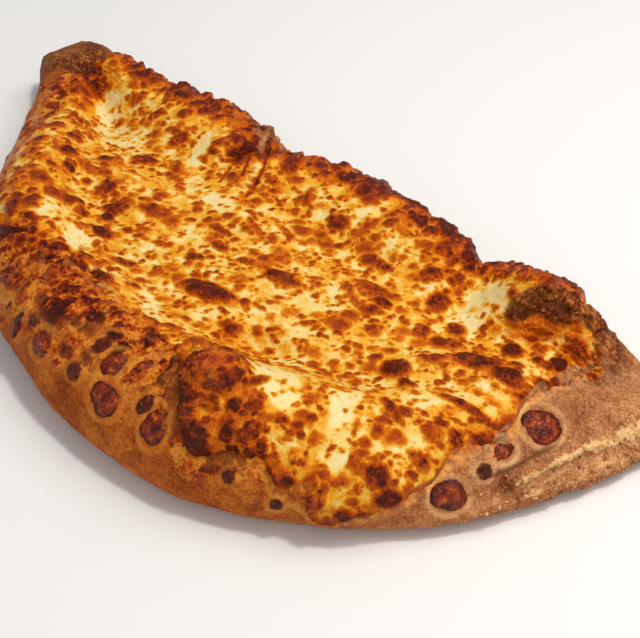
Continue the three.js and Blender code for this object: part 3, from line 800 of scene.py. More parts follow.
def maths(operation, *values):
    tree = next(value.tree for value in values if isinstance(value, Wire))
    return add(tree, "ShaderNodeMath", dict(enumerate(values)), operation=operation)


def clamped(wire):
    """The same number, kept between 0 and 1."""
    wire.socket.node.use_clamp = True
    return wire


def vectors(operation, first, second):
    return add(first.tree, "ShaderNodeVectorMath", {0: first, 1: second}, operation=operation)


def scaled(vector, by):
    """A vector times a number, where at least one of them is a wire."""
    tree = vector.tree if isinstance(vector, Wire) else by.tree
    return add(tree, "ShaderNodeVectorMath", {0: vector, "Scale": by}, operation="SCALE")


def part_of(vector, axis):
    return add(vector.tree, "ShaderNodeSeparateXYZ", {0: vector}, axis)


def span(value, low, high, to_low=0.0, to_high=1.0):
    """Runs smoothly from to_low to to_high while the value runs from low to high."""
    inputs = {"Value": value, "From Min": low, "From Max": high, "To Min": to_low, "To Max": to_high}
    return add(value.tree, "ShaderNodeMapRange", inputs, interpolation_type="SMOOTHSTEP")


print("a wire knows:", [name for name in vars(Wire) if name in ("__add__", "__sub__", "__mul__")])

# %% [markdown]
# Noise and cell patterns take a size in metres rather than a scale. The same reader fetches a stored
# field in both kinds of tree.


# %% Patterns and stored fields
def noise(place, size, detail=2.0, roughness=0.5, out="Fac"):
    """Soft noise whose waves are about size metres long."""
    inputs = {"Vector": place, "Scale": 1 / size, "Detail": detail, "Roughness": roughness}
    return add(place.tree, "ShaderNodeTexNoise", inputs, out)


def centred(place, size, detail=2.0, roughness=0.5):
    """Noise about 0."""
    return noise(place, size, detail, roughness) - 0.5


def shifted(place, by, size, far, detail=2.0):
    """A place moved by coloured noise that is read at another place."""
    aside = vectors("SUBTRACT", noise(by, size, detail, out="Color"), (0.5, 0.5, 0.5))
    return vectors("ADD", place, scaled(aside, far))


def cells(place, size=1.0, out="Distance", **settings):
    return add(place.tree, "ShaderNodeTexVoronoi", {"Vector": place, "Scale": 1 / size}, out, **settings)


def fields_of(tree):
    """A reader of the fields that were stored on a mesh."""
    in_geometry = tree.bl_idname == "GeometryNodeTree"

    def field(name, vector=False):
        if in_geometry:
            kind = "FLOAT_VECTOR" if vector else "FLOAT"
            return add(tree, "GeometryNodeInputNamedAttribute", {"Name": name}, "Attribute", data_type=kind)
        return add(tree, "ShaderNodeAttribute", out="Vector" if vector else "Fac", attribute_name=name)

    return field


print("stored on the sheet:", [a.name for a in sheet.data.attributes if not a.is_internal])

# %% [markdown]
# ## The recipe for browning
# Melted cheese browns in small blisters that crowd together, and in ragged patches between them. A cell
# pattern gives the blisters: each cell has one, darkest in its middle. Its radius comes from a soft
# noise, so that neighbours meet without a cut. Cloudy noise gives the patches, and both are bent and
# drawn out a little, because the cheese slid while it melted. More heat makes every blister larger, so
# that they merge on the rims and vanish in pale pools. The result is one number: 0 cream, 0.5 orange,
# 1 nearly black.

# %% Browning
# cell, smallest and largest radius in cells, shift, strength
BLISTER_SIZES = [
    (0.0086, 0.06, 0.46, 0.0, 0.84), (0.0052, 0.08, 0.5, 3.1, 0.8), (0.0030, 0.06, 0.56, 7.7, 0.74),
]
SLID = (0.768, 0.640, 0.037)
DRAWN_OUT = -0.22
RIM_TONE, CORE_TONE = 0.44, 0.06


def blister_layer(place, heat, cell, small, large, shift, strength):
    moved = vectors("ADD", scaled(place, 1 / cell), (shift, shift, shift))
    distance = cells(moved)
    radius = span(noise(moved, 1.7, 1), 0.32, 0.68, small, large) + (heat * 0.42 - 0.17)
    inside = radius - distance
    rim = span(inside, -0.28, 0.08, 0, RIM_TONE)
    core = span(inside, -0.06, 0.3, 0, strength + CORE_TONE - RIM_TONE)
    number = part_of(distance.other("Color"), "X")
    paler = span(number, 0.25, 0.9, 0.35, 0) * span(radius, 0.42, 0.7, 1, 0)
    return rim + core * (1.0 - paler)


def browning(place, heat, spot):
    run = add(place.tree, "ShaderNodeVectorMath", {0: place, 1: SLID}, "Value", operation="DOT_PRODUCT")
    drawn = vectors("ADD", place, scaled(SLID, run * DRAWN_OUT))
    bent = shifted(shifted(drawn, drawn, 0.007, 0.0040), drawn, 0.0021, 0.0013)
    heat = centred(drawn, 0.0060, 3) * 0.4 + heat
    patches = heat * 0.3 - 0.12 + noise(drawn, 0.0050, 3, 0.6)
    total = span(patches, 0.44, 0.72, 0, 0.54)
    for size in BLISTER_SIZES:
        total = maths("SMOOTH_MAX", total, blister_layer(bent, heat, *size), 0.08)
    ragged = centred(place, 0.0024, 3)
    placed = (ragged * 0.7 + spot) * span(spot, 0.0, 0.25)
    total = maths("SMOOTH_MAX", total, placed, 0.1)
    base = span(noise(place, 0.010), 0.3, 0.7, -0.04, 0.3) + (heat * 0.62 - 0.24)
    total = maths("SMOOTH_MAX", total, base, 0.12)
    mottled = ragged * (heat * 0.45 + 0.08)
    deeper = (heat * 0.24 - 0.12) * total
    return clamped(total + (mottled + deeper))


print("blister sizes:", len(BLISTER_SIZES))

# %% [markdown]
# ## Relief, with Geometry Nodes
# A relief tree reads the fields that were stored on the mesh, works out a height at each point and moves
# the point along its normal. A displacement in the material could look the same, but it would be lost
# in an export. When the tree has run, its result is kept as a plain mesh.


# %% The relief tree
def new_tree(name, sizes):
    """A tree that takes a geometry, a material and named sizes, as wires by their names."""
    tree = bpy.data.node_groups.new(name, "GeometryNodeTree")
    tree.interface.new_socket("Geometry", in_out="INPUT", socket_type="NodeSocketGeometry")
    tree.interface.new_socket("Material", in_out="INPUT", socket_type="NodeSocketMaterial")
    for size, value in sizes.items():
        kind = "NodeSocketInt" if isinstance(value, int) else "NodeSocketFloat"
        tree.interface.new_socket(size, in_out="INPUT", socket_type=kind).default_value = value
    tree.interface.new_socket("Geometry", in_out="OUTPUT", socket_type="NodeSocketGeometry")
    given = tree.nodes.new("NodeGroupInput")
    print(name, "takes", list(sizes))
    return tree, {socket.name: Wire(socket) for socket in given.outputs if socket.name}


def end_tree(tree, geometry, material):
    """Makes instances real, sets the material and ends the tree."""
    real = add(tree, "GeometryNodeRealizeInstances", {"Geometry": geometry})
    finished = add(tree, "GeometryNodeSetMaterial", {"Geometry": real, "Material": material})
    add(tree, "NodeGroupOutput", {"Geometry": finished})


def relief_tree(name, height, sizes):
    """A tree that moves each point along its normal by what height() gives."""
    tree, given = new_tree(name, sizes)
    offset = scaled(add(tree, "GeometryNodeInputNormal"), height(given, fields_of(tree)))
    moved = add(tree, "GeometryNodeSetPosition", {"Geometry": given["Geometry"], "Offset": offset})
    end_tree(tree, moved, given["Material"])
    return tree


def grown(piece, tree, material):
    """Runs a tree on a piece and keeps the result as the piece's plain mesh."""
    modifier = piece.modifiers.new(tree.name, "NODES")
    modifier.node_group = tree
    for item in tree.interface.items_tree:
        if item.name == "Material":
            modifier[item.identifier] = material
    ready = piece.evaluated_get(bpy.context.evaluated_depsgraph_get())
    mesh = bpy.data.meshes.new_from_object(ready)
    piece.modifiers.remove(modifier)
    piece.data = mesh
    print(piece.name, "triangles:", sum(len(face.vertices) - 2 for face in mesh.polygons))


# %% [markdown]
# The cheese rises where it is brown and more so where it is hot, carries a fine grain, sags a little, and
# has crags along the fold. The placed blisters and strands come in through the stored lift.


# %% Relief of the cheese
def cheese_height(given, field):
    place, warmth = field("rest", vector=True), field("warmth")
    brown = browning(place, warmth, field("spot"))
    rough = span(warmth, 0.3, 0.9, 0.7, 1.8)
    small = span(brown, 0.3, 1) * given["Blister height"] * rough
    grain = centred(place, 0.0028, 3, 0.6) * given["Grain height"] * rough
    crag = maths("ABSOLUTE", centred(place, 0.0052, 3, 0.6)) * given["Crag height"] * field("crags")
    sag = centred(place, 0.012) * given["Sag"]
    inland = span(field("edge"), 0.0, 0.003)
    return (small - crag + grain + sag) * inland * field("face") + field("lift")


cheese_tree = relief_tree("cheese relief", cheese_height, {
    "Blister height": 0.0013, "Grain height": 0.0013, "Sag": 0.0012, "Crag height": 0.0060})

# %% [markdown]
# ## Helpers for finishes
# A finish starts from one number for each place, and a row of colours turns it into paint. Other
# finishes are blended over it by the fields that say where they lie.


# %% Colour rows and blends
def painted(name):
    """A new material, its shader and a reader of stored fields."""
    material = bpy.data.materials.new(name)
    material.use_nodes = True
    return material, material.node_tree.nodes["Principled BSDF"], fields_of(material.node_tree)


def plug(wire, shader, name):
    wire.tree.links.new(wire.socket, shader.inputs[name])


def colour_row(value, stops):
    """A colour for each value, from stops of a value and its red, green and blue."""
    made = add(value.tree, "ShaderNodeValToRGB", {"Fac": value}, "Color")
    row = made.socket.node.color_ramp.elements
    while len(row) < len(stops):
        row.new(0.5)
    for element, (position, *colour) in zip(row, stops):
        element.position = position
        element.color = srgb(*colour)
    return made


def blended(share, first, second):
    """The first colour where the share is 0, the second where it is 1."""
    inputs = {"Factor": share, COLOUR_A: first, COLOUR_B: second}
    return add(share.tree, "ShaderNodeMix", inputs, COLOUR_OUT, data_type="RGBA")


def bumped(shader, height, distance):
    plug(add(height.tree, "ShaderNodeBump", {"Height": height, "Distance": distance}), shader, "Normal")


COLOUR_A, COLOUR_B, COLOUR_OUT = 6, 7, 2  # where the Mix node keeps its colour sockets
BUMP = 0.0009
print("cream as shaders see it:", [round(part, 3) for part in srgb(232, 214, 158)])

# %% [markdown]
# Bare dough and dry toast show on both the sheet and the crust, so their recipes stand alone. The dough
# is cloudy, with the grain of tiny burst bubbles; toast is a grainy grey-brown with a ragged outline.

# %% Dough and toast
DOUGH_COLOURS = [
    (0.22, 94, 34, 6), (0.38, 142, 58, 8), (0.5, 174, 80, 14), (0.62, 198, 104, 26), (0.8, 224, 142, 54),
]
TAIL_COLOURS = [
    (0.22, 102, 56, 28), (0.38, 142, 84, 46), (0.5, 174, 108, 64), (0.62, 198, 134, 84),
    (0.8, 230, 178, 126),
]
TOAST_COLOURS = [(0.32, 48, 16, 4), (0.46, 88, 36, 10), (0.56, 132, 62, 22), (0.72, 206, 130, 66)]


def dry_dough(place, grain):
    """How pale the bare crust is, from 0 to 1."""
    dry = grain * 0.85 + (centred(place, 0.016, 3, 0.6) * 0.6 + 0.52)
    return dry - span(noise(place, 0.0045, 4, 0.65), 0.42, 0.7, -0.04, 0.09)


def dough_colour(dry, tail):
    return blended(tail, colour_row(dry, DOUGH_COLOURS), colour_row(dry, TAIL_COLOURS))


def toasted(place, amount, colour):
    """Lays dry toast over a colour."""
    ragged_amount = centred(place, 0.003, 3, 0.6) * 1.2 + amount
    share = span(ragged_amount, 0.3, 0.9, 0, 0.92) * span(amount, 0.1, 0.4)
    grains = centred(place, 0.0060) * 0.5 + noise(place, 0.0013, 3, 0.7)
    return blended(share, colour, colour_row(grains, TOAST_COLOURS))


print("tones of dough:", len(DOUGH_COLOURS + TAIL_COLOURS), "and of toast:", len(TOAST_COLOURS))

# %% [markdown]
# ## The cheese's finish
# The browning number runs through a row of colours, from cream over gold and orange to red-brown. The
# gold is see-through oily cheese round each blister, so it forms a halo by itself. Bump adds what is
# finer than the mesh, and the surface is oily, glossiest on the blisters and dull on bare and toasted
# places.

# %% Cheese material
CHEESE_COLOURS = [
    (0.0, 232, 214, 158), (0.12, 234, 200, 116), (0.26, 232, 168, 42), (0.4, 226, 136, 6),
    (0.54, 210, 102, 0), (0.7, 180, 72, 0), (0.85, 134, 42, 0), (1.0, 74, 20, 2),
]
GLOW_COLOURS = [(0.35, 188, 70, 0), (0.5, 218, 102, 0), (0.65, 240, 150, 24)]
OILY_YELLOW, STRAND_YELLOW = srgb(232, 178, 60), srgb(248, 204, 112)

cheese_material, shader, field = painted("melted_cheese")
place = field("rest", vector=True)
brown = browning(place, field("warmth"), field("spot"))
fine = centred(place, 0.0010, 3, 0.65)
tone = clamped(fine * (brown * 0.35 + 0.22) + brown)
colour = colour_row(tone, CHEESE_COLOURS)
yellow = blended(span(noise(place, 0.014), 0.4, 0.7, 0, 0.3), colour, OILY_YELLOW)
colour = blended(span(tone, 0.1, 0.3, 1, 0), colour, yellow)
glow = field("glow") * span(tone, 0.42, 0.72, 0.9, 0.0)
colour = blended(glow, colour, colour_row(fine + 0.5, GLOW_COLOURS))
bare = span(centred(place, 0.004, 3) * 0.8 + field("bare"), 0.25, 0.75) * span(field("bare"), 0, 0.1)
colour = blended(bare, colour, dough_colour(dry_dough(place, fine), field("tail")))
colour = blended(field("pale") * 0.85, colour, STRAND_YELLOW)
plug(toasted(place, field("char"), colour), shader, "Base Color")
dull = maths("MAXIMUM", bare, field("char")) * 0.75
plug(maths("MAXIMUM", span(tone, 0.2, 0.7, 0.36, 0.17), dull), shader, "Roughness")
shader.inputs["Specular IOR Level"].default_value = 0.14
gritty = fine * span(tone, 0.15, 0.6, 0.25, 1)
bumped(shader, brown * 0.8 + gritty * 1.4, BUMP)
grown(sheet, cheese_tree, cheese_material)

# %% [markdown]
# ## The crust
# The dough is baked dry and matt, tan-brown and finely speckled where tiny blisters burst. It turns
# orange where oil from the cheese has run into it, charred grey-brown on its highest places, and stays
# cream where the two layers part. Its rings lie close together where the crust shows and further apart
# under the cheese and on the base.

# %% The crust's rings
crust_up = np.concatenate([
    [-1, -0.68], np.linspace(BASE_UP, 0, 14, endpoint=False), np.linspace(0, CREST_UP, 46, endpoint=False),
    np.linspace(CREST_UP, 0.72, 22, endpoint=False), np.linspace(0.72, 1, 12)])[:, None]
crust_rest = skin(AROUND, crust_up)
crust_around = np.broadcast_to(AROUND, crust_rest.shape[:2])
crust_ups = np.broadcast_to(crust_up, crust_rest.shape[:2])
crust_z = crust_rest[..., 2]
print("rings of the crust:", len(crust_up))

# %% [markdown]
# The rim's spots and small burst blisters lie where the solid has them. Charred places, dark marks in the
# glaze and pale patches are placed along the rim; some of the pale patches are painted light.

# %% Places on the crust
# cheese spots and burst blisters: around, up, long, wide, angle, high
SPOTS = [
    (0.432, 0.19, 6.5, 5.5, 80, 3), (0.496, 0.31, 6, 5, 60, 2.8), (0.518, 0.33, 7, 4, 75, 2.8),
    (0.504, 0.19, 7.5, 7, 0, 3.2), (0.548, 0.2, 8, 5.5, 100, 3.2), (0.824, 0.28, 8.5, 8, 40, 3.4),
    (0.752, 0.1, 7.5, 6.5, 20, 3.4), (0.79, 0.23, 5.5, 4.5, 60, 2.8),
]
CRUST_BLISTERS = [
    (0.48, 0.34, 4, 3, 70, 2), (0.472, 0.21, 3.6, 3.6, 0, 2.6), (0.536, 0.25, 4.5, 3, 80, 2),
    (0.776, 0.17, 3.2, 3.2, 0, 2), (0.64, 0.05, 2.6, 2.6, 0, 1.8), (0.4, 0.15, 5, 2.6, 80, 1.6),
    (0.608, 0.13, 2.4, 2.8, 0, 1.6),
]
# around, up, long, wide, angle from the rim, amount
CHARRED = [
    (1.96, 0.5, 14, 9, -30, 1), (0.02, 0.56, 8, 8, 0, 0.8), (0.08, 0.3, 10, 5, 90, 0.4),
    (0.04, 0.6, 7, 6, 0, 0.7), (1.15, 0.36, 12, 8, 0, 0.7), (1.1, 0.36, 11, 9, 0, 0.8),
    (1.05, 0.4, 12, 8, -30, 0.5), (1.6, 0.3, 9, 6, 60, 0.6), (0.79, 0.11, 5, 3, 20, 0.7),
    (0.792, 0.05, 5, 4, 40, 0.8),
]
RIM_MARKS = [
    (0.372, 0.25, 7, 5, 30, 0.9), (0.385, 0.43, 6, 4, 0, 0.78), (0.383, 0.4, 2.2, 1.8, 0, 1),
    (0.422, 0.41, 16, 7, 0, 0.66), (0.424, 0.335, 13, 8, -10, 0.7), (0.445, 0.35, 4, 3, 0, 0.9),
    (0.455, 0.405, 6, 3.5, 0, 0.9), (0.442, 0.45, 7, 3, 0, 0.75), (0.403, 0.125, 5.5, 2, 75, 0.92),
    (0.383, 0.165, 3, 1.8, 60, 0.9), (0.38, 0.08, 3, 1.2, 60, 0.8), (0.455, 0.19, 2.4, 2, 60, 0.92),
    (0.49, 0.395, 7, 2.4, 10, 0.85), (0.536, 0.39, 4, 3, 0, 0.75), (0.55, 0.26, 1.8, 1.6, 0, 0.85),
    (0.555, 0.225, 2.6, 1.4, 90, 0.85), (0.545, 0.3, 2, 1.8, 0, 0.75), (0.612, 0.165, 2, 1.4, 40, 0.7),
    (0.51, 0.43, 6, 2.2, 0, 0.7), (0.3, 0.24, 7, 4, 30, 0.85), (0.31, 0.36, 6, 4, 50, 0.8),
    (0.285, 0.12, 4, 3, 60, 0.8), (0.262, 0.2, 6, 4, 20, 0.8), (0.33, 0.13, 5, 2.5, 70, 0.85),
    (0.352, 0.15, 3.5, 2, 60, 0.8), (0.24, 0.08, 3, 2, 0, 0.8), (0.22, 0.13, 5, 3.5, 0, 0.8),
    (0.19, 0.2, 7, 4, 10, 0.8), (0.16, 0.12, 4, 3, 0, 0.75), (0.13, 0.22, 6, 4, 20, 0.75),
    (0.355, 0.2, 3, 2, 30, 0.8),
]
# pale dough patches; the two at about 0.555 are painted light on the rim left of the bubble, where it lies
# in shade, and those at 0.375, 0.35 and 0.466, 0.27 are painted highlights
PALE_AND_LIT_PATCHES = [
    (0.375, 0.35, 4, 3, 0, 0.9), (0.448, 0.335, 5, 2.4, 30, 1), (0.466, 0.345, 5, 3, 10, 1),
    (0.4, 0.25, 10, 2.6, 0, 0.6), (0.466, 0.27, 4, 2, 0, 0.8), (0.548, 0.34, 5, 3, 30, 0.6),
    (0.525, 0.25, 8, 2, 60, 0.5), (0.44, 0.26, 9, 2.4, 10, 0.5), (0.553, 0.34, 5, 9, 0, 1),
    (0.556, 0.24, 5, 6, 0, 0.9),
]
print("places on the crust:", len(SPOTS + CRUST_BLISTERS + CHARRED + RIM_MARKS + PALE_AND_LIT_PATCHES))

# %% [markdown]
# The left of the rim is pleated where the dough was folded over. Its creases are dark strokes, their
# darkness partly browned glaze and partly painted shade in the folds, and its pleats pale ones. Where the
# two layers part at the tail, the torn edge is a floury line whose height, strength and width change
# along the rim.

# %% Creases, pleats, the oil and the seam
# places on the rim, half width, darkness (partly painted shade in the fold), height
CREASES = [
    (((0.316, 0.2), (0.324, 0.25), (0.332, 0.34), (0.344, 0.42), (0.352, 0.48)), 1.9, 0.95, -0.9),
    (((0.352, 0.48), (0.36, 0.5), (0.376, 0.51), (0.4, 0.51)), 1.0, 0.8, -0.5),
    (((0.344, 0.16), (0.348, 0.24), (0.353, 0.32), (0.361, 0.38), (0.373, 0.46)), 2.0, 0.9, -0.8),
    (((0.356, 0.16), (0.36, 0.22), (0.366, 0.27)), 3.0, 0.8, 0.2),
    (((0.333, 0.24), (0.34, 0.31), (0.346, 0.36), (0.356, 0.43)), 1.6, 0.0, 1.2),
    (((0.29, 0.3), (0.3, 0.36), (0.305, 0.42)), 1.4, 0.8, -0.8),
    (((0.24, 0.16), (0.25, 0.24), (0.26, 0.3)), 1.4, 0.8, -0.8),
    (((0.394, 0.3), (0.391, 0.36), (0.397, 0.42)), 1.0, 0.85, -0.6),
    (((0.503, 0.34), (0.506, 0.39), (0.512, 0.43)), 0.9, 0.7, -0.5),
    (((0.53, 0.33), (0.535, 0.39), (0.545, 0.42)), 1.1, 0.8, -0.7),
]
# places on the rim, half width
PALE_PLEATS = [
    (((0.388, 0.1), (0.384, 0.27), (0.376, 0.34), (0.38, 0.4), (0.388, 0.44), (0.404, 0.47)), 0.8),
    (((0.402, 0.14), (0.408, 0.24), (0.411, 0.34)), 0.8), (((0.37, 0.2), (0.369, 0.28), (0.37, 0.34)), 0.7),
    (((0.3, 0.2), (0.305, 0.3), (0.31, 0.38)), 0.9), (((0.416, 0.46), (0.432, 0.49), (0.444, 0.5)), 0.7),
    (((0.425, 0.485), (0.443, 0.49), (0.457, 0.495), (0.47, 0.5)), 0.6),
    (((0.47, 0.4), (0.482, 0.415), (0.494, 0.42)), 0.6),
    (((0.486, 0.36), (0.486, 0.3), (0.49, 0.26), (0.5, 0.26)), 0.8),
    (((0.507, 0.36), (0.508, 0.3), (0.51, 0.26)), 0.8),
    (((0.527, 0.4), (0.528, 0.33), (0.532, 0.28), (0.54, 0.27)), 0.8),
    (((0.462, 0.38), (0.47, 0.375), (0.478, 0.39)), 0.7),
]
# painted shade: a thin dark line where shadow falls in the crease above the seam
SHADED = (
    (0.782, 0.14), (0.8, 0.15), (0.816, 0.175), (0.83, 0.185),
)
oil_reach = through(
    (0, 5), (0.2, 20), (0.3, 40), (0.36, 46), (0.45, 38), (0.5, 28), (0.56, 14), (0.62, 8), (0.68, 6),
    (0.8, 5), (1, 5), (1.1, 10), (1.9, 10), (2, 5),
)
seam_height = through(
    (0.76, 13.5), (0.8, 14), (0.84, 15.5), (0.88, 14.5), (0.93, 14), (1, 14), (1.03, 13.5),
)
seam_strength = through(
    (0.77, 0.4), (0.82, 0.8), (0.88, 0.9), (0.95, 1), (1.03, 1),
)
seam_width = through(
    (0.76, 0.9), (0.82, 1.4), (0.9, 1.9), (1, 2.1),
)
print("creases and pleats:", len(CREASES + PALE_PLEATS))

# %% [markdown]
# As on the sheet, each point of the crust stores what its relief and its finish need. Under the cheese
# the crust is lowered a little, so that it never shows through.

# %% The crust's fields
UP_LENGTH = 95  # about how many millimetres of skin one unit of up covers on the rim
CREASE_DEPTH, UNDER_CHEESE, BURST_SPREAD = 1.6, 0.6, 1.02
below = (ragged_end - crust_ups) * UP_LENGTH
covered = ramp(0.5, 4, -below)
open_seam = between(0.765, 0.81, 1.0, 1.03, crust_around) * ramp(0, 0.01, crust_ups)
seam = open_seam * seam_strength(crust_around)
seam = seam * bell(crust_z - seam_height(crust_around), seam_width(crust_around))
bursts = [(a, u, BURST_SPREAD * long, BURST_SPREAD * wide, angle, 1)
          for a, u, long, wide, angle, _ in CRUST_BLISTERS]
cushions = [(*oval, 1) for *oval, _ in SPOTS]
marks = strongest(crust_rest, RIM_MARKS, along_rim, 0.6, 1.2)
# the creases' darkness, partly painted shade, joins the dark marks of the glaze
lines, (darks, highs) = stroke_fields(crust_rest, CREASES)
pale_lines = stroke_fields(crust_rest, PALE_PLEATS)[0].max(axis=0)
rings_round = np.maximum(halo(crust_rest, bursts, on_rim), halo(crust_rest, cushions, on_rim, 1.0, 0.9))
crust_lift = domes(crust_rest, CRUST_BLISTERS, on_rim) + CREASE_DEPTH * (lines * highs).sum(axis=0)
crust_lift = crust_lift + 0.7 * marks + 0.5 * rings_round
left_rim = between(0.2, 0.3, 0.53, 0.6, crust_around) * ramp(0.12, 0.3, crust_ups)
far_from_edge = 12
crust_warmth = heat(crust_rest, crust_around, crust_ups, far_from_edge) + 0.2 * left_rim
crust = ring_piece(
    "baked_crust", crust_rest,
    rest=crust_rest * MM,
    spot=strongest(crust_rest, bursts, on_rim, 0.75, 1.15),
    char=summed(crust_rest, CHARRED, along_rim),
    tanned=np.maximum(summed(crust_rest, PALE_AND_LIT_PATCHES, along_rim), pale_lines),
    seam=seam,
    under=open_seam * between(2, 4, 11, 14, crust_z),
    halo=np.maximum(rings_round, 0.6 * halo(crust_rest, RIM_MARKS, along_rim, 0.7, 0.5)),
    oil=1 - ramp(0.55, 1.15, below / oil_reach(crust_around)),
    lip=bell(below - 2.4, 2.2) * between(0.55, 0.64, 0.95, 1, crust_around),
    mark=np.maximum(marks, (lines * darks).max(axis=0)),
    warmth=np.clip(crust_warmth, 0, 1),
    tail=between(0.6, 0.8, 1.1, 1.3, crust_around),
    # painted shade in the crease above the seam
    shade=0.8 * stroke(crust_rest, SHADED, 0.9),
    crumbs=between(0.74, 0.8, 0.98, 1.02, crust_around) * bell(crust_z - 8, 6),
    frayed=ramp(0.72, 0.84, crust_around) * bell(crust_z - 6, 5),
    ear=ramp(1.88, 1.96, crust_around) + 1 - ramp(0.04, 0.12, crust_around),
    lift=(crust_lift * (1 - covered) - UNDER_CHEESE * covered) * MM,
    low=ramp(6, 1.5, crust_z),
    along=crust_around,
    upwards=crust_ups,
    face=ramp(-0.34, -0.2, crust_ups) * (1 - covered))

# %% [markdown]
# ## Relief of the crust
# The crust is wavy and pimpled all over, torn at the seam and frayed along its lower edge. On the oily
# rim it also has pleats, and its glaze breaks up into low islands. Pleats and islands are patterns of
# `along` and `upwards`, so they follow the rim round its bends.


# %% Pleats, islands and heights
def on_the_rim(field, along, upwards):
    """A flat place whose first number runs along the rim and whose second runs up it."""
    inputs = {0: field("along") * along, 1: field("upwards") * upwards}
    return add(inputs[0].tree, "ShaderNodeCombineXYZ", inputs)


def pleats(field):
    """Folds that run up the rim: noise that is long upwards and short along the rim."""
    return centred(on_the_rim(field, 105.0, 5.0), 1.0, 3, 0.6)


def islands(place, field):
    """Islands of glaze between lines of dough: how far from a line, and each island's number."""
    bent = shifted(on_the_rim(field, 58.0, 9.0), place, 0.005, 1.1, 3)
    return cells(bent, feature="DISTANCE_TO_EDGE"), part_of(cells(bent, out="Color"), "X")


def crust_height(given, field):
    place = field("rest", vector=True)
    dough_waves = centred(place, 0.016) * given["Dough waves"]
    pimples = centred(place, 0.0030, 3, 0.65) * given["Pimples"]
    torn = noise(place, 0.0024, 3, 0.7) * field("seam") * given["Torn edge"]
    frayed = centred(place, 0.0075, 3, 0.6) * field("frayed") * given["Frayed edge"]
    folds = pleats(field) * field("oil") * given["Pleats"]
    raised = span(islands(place, field)[0], 0, 0.28) * field("oil") * given["Islands"]
    return (dough_waves + pimples + torn + frayed + folds + raised) * field("face") + field("lift")


crust_tree = relief_tree("crust relief", crust_height, {
    "Dough waves": 0.0016, "Pimples": 0.0014, "Torn edge": 0.0042, "Frayed edge": 0.0040,
    "Pleats": 0.0026, "Islands": 0.0009})

# %% [markdown]
# ## The crust's finish
# The finish is laid on in the order in which it happened: bare dough, then the oily glaze that browned on
# it, pale stretched dough with some painted light, rings round the spots, flour in the torn seam, a line of
# painted shade in the crease above the seam, and last what burned.

# %% Crust material: dough and glaze
EAR_COLOURS = [
    (0.22, 72, 36, 16), (0.38, 106, 58, 26), (0.5, 134, 76, 36), (0.62, 158, 98, 52), (0.8, 208, 150, 94),
]
GLAZE_COLOURS = [
    (0.24, 224, 140, 40), (0.4, 204, 96, 8), (0.56, 168, 58, 0), (0.72, 124, 32, 0), (0.95, 60, 12, 0),
]

crust_material, shader, field = painted("baked_crust")
place = field("rest", vector=True)
grain = centred(place, 0.0010, 3, 0.7)
speckle = centred(place, 0.0018, 2, 0.7)
ragged = centred(place, 0.005, 3)
dry = dry_dough(place, grain)
colour = blended(field("ear"), dough_colour(dry, field("tail")), colour_row(dry, EAR_COLOURS))

oil = span(ragged * 0.8 + field("oil"), 0.2, 0.8)
from_line, island = islands(place, field)
glaze = browning(place, field("warmth"), field("mark"))
glaze = maths("MAXIMUM", glaze, span(noise(place, 0.004, 3), 0.3, 0.7, 0.36, 0.66))
# painted highlight in part: the speckle also gives the glaze small light flecks that stand for glints on the
# oil
glaze = glaze + (speckle + (pleats(field) * 0.7 - 0.05))
glaze = glaze + span(island, 0.35, 0.85, -0.1, 0.24)
glaze = clamped(glaze + span(from_line, 0.0, 0.16, -0.3, 0.0))
glazed = maths("MAXIMUM", oil * 0.94, span(field("mark"), 0.3, 0.6))
colour = blended(glazed, colour, colour_row(glaze, GLAZE_COLOURS))
print("nodes for dough and glaze:", len(crust_material.node_tree.nodes))

# %% [markdown]
# Pale dough, partly painted light, rings and flour each have a ragged share of their own, so that none ends
# in a drawn line.

# %% Crust material: pale dough, rings and flour
FLOUR_COLOURS = [(0.3, 210, 142, 76), (0.5, 238, 188, 122), (0.7, 252, 224, 170)]
RIM_RING, TAIL_RING = srgb(224, 138, 52), srgb(242, 188, 126)
LOW_DOUGH, SHADED_DOUGH = srgb(196, 132, 58), srgb(92, 48, 26)

# painted light in part: the pale patches also lighten the shaded rim left of the bubble and paint two
# highlights
bare = field("tanned") * span(ragged, -0.2, 0.15, 0.2, 0.75) * span(speckle, -0.15, 0.1, 0.4, 1)
colour = blended(bare, colour, colour_row(dry + 0.16, DOUGH_COLOURS))
ring = field("halo") * span(noise(place, 0.007), 0.35, 0.65, 0.3, 0.85) * span(field("mark"), 0.2, 0.5, 1, 0)
ring = maths("MAXIMUM", ring, field("lip") * 0.4)
colour = blended(ring, colour, blended(field("tail"), RIM_RING, TAIL_RING))
colour = blended(field("low") * 0.5, colour, LOW_DOUGH)
strands = add(place.tree, "ShaderNodeCombineXYZ", {0: field("along") * 60.0, 1: part_of(place, "Z") * 420.0})
strand = span(noise(strands, 1.0, 3, 0.6), 0.45, 0.62) * field("under")
flour = span(centred(place, 0.0035, 4, 0.6) * 2.2 + field("seam"), 0.35, 0.9)
flour = maths("MAXIMUM", flour * span(field("seam"), 0.05, 0.3), strand * 0.7)
colour = blended(flour, colour, colour_row(grain + 0.5, FLOUR_COLOURS))
# painted shade: the crease above the seam is darkened where shadow falls in it
colour = blended(field("shade"), colour, SHADED_DOUGH)
print("nodes with the seam:", len(crust_material.node_tree.nodes))

# %% [markdown]
# What burned lies on top: the toast, and the small blisters that burst and charred. Where the crust is
# wet with oil or burst it is glossy, and elsewhere matt.

# %% Crust material: toast, bursts and gloss
BURST_COLOURS = [(0.34, 46, 14, 8), (0.52, 84, 28, 14), (0.72, 146, 62, 28)]

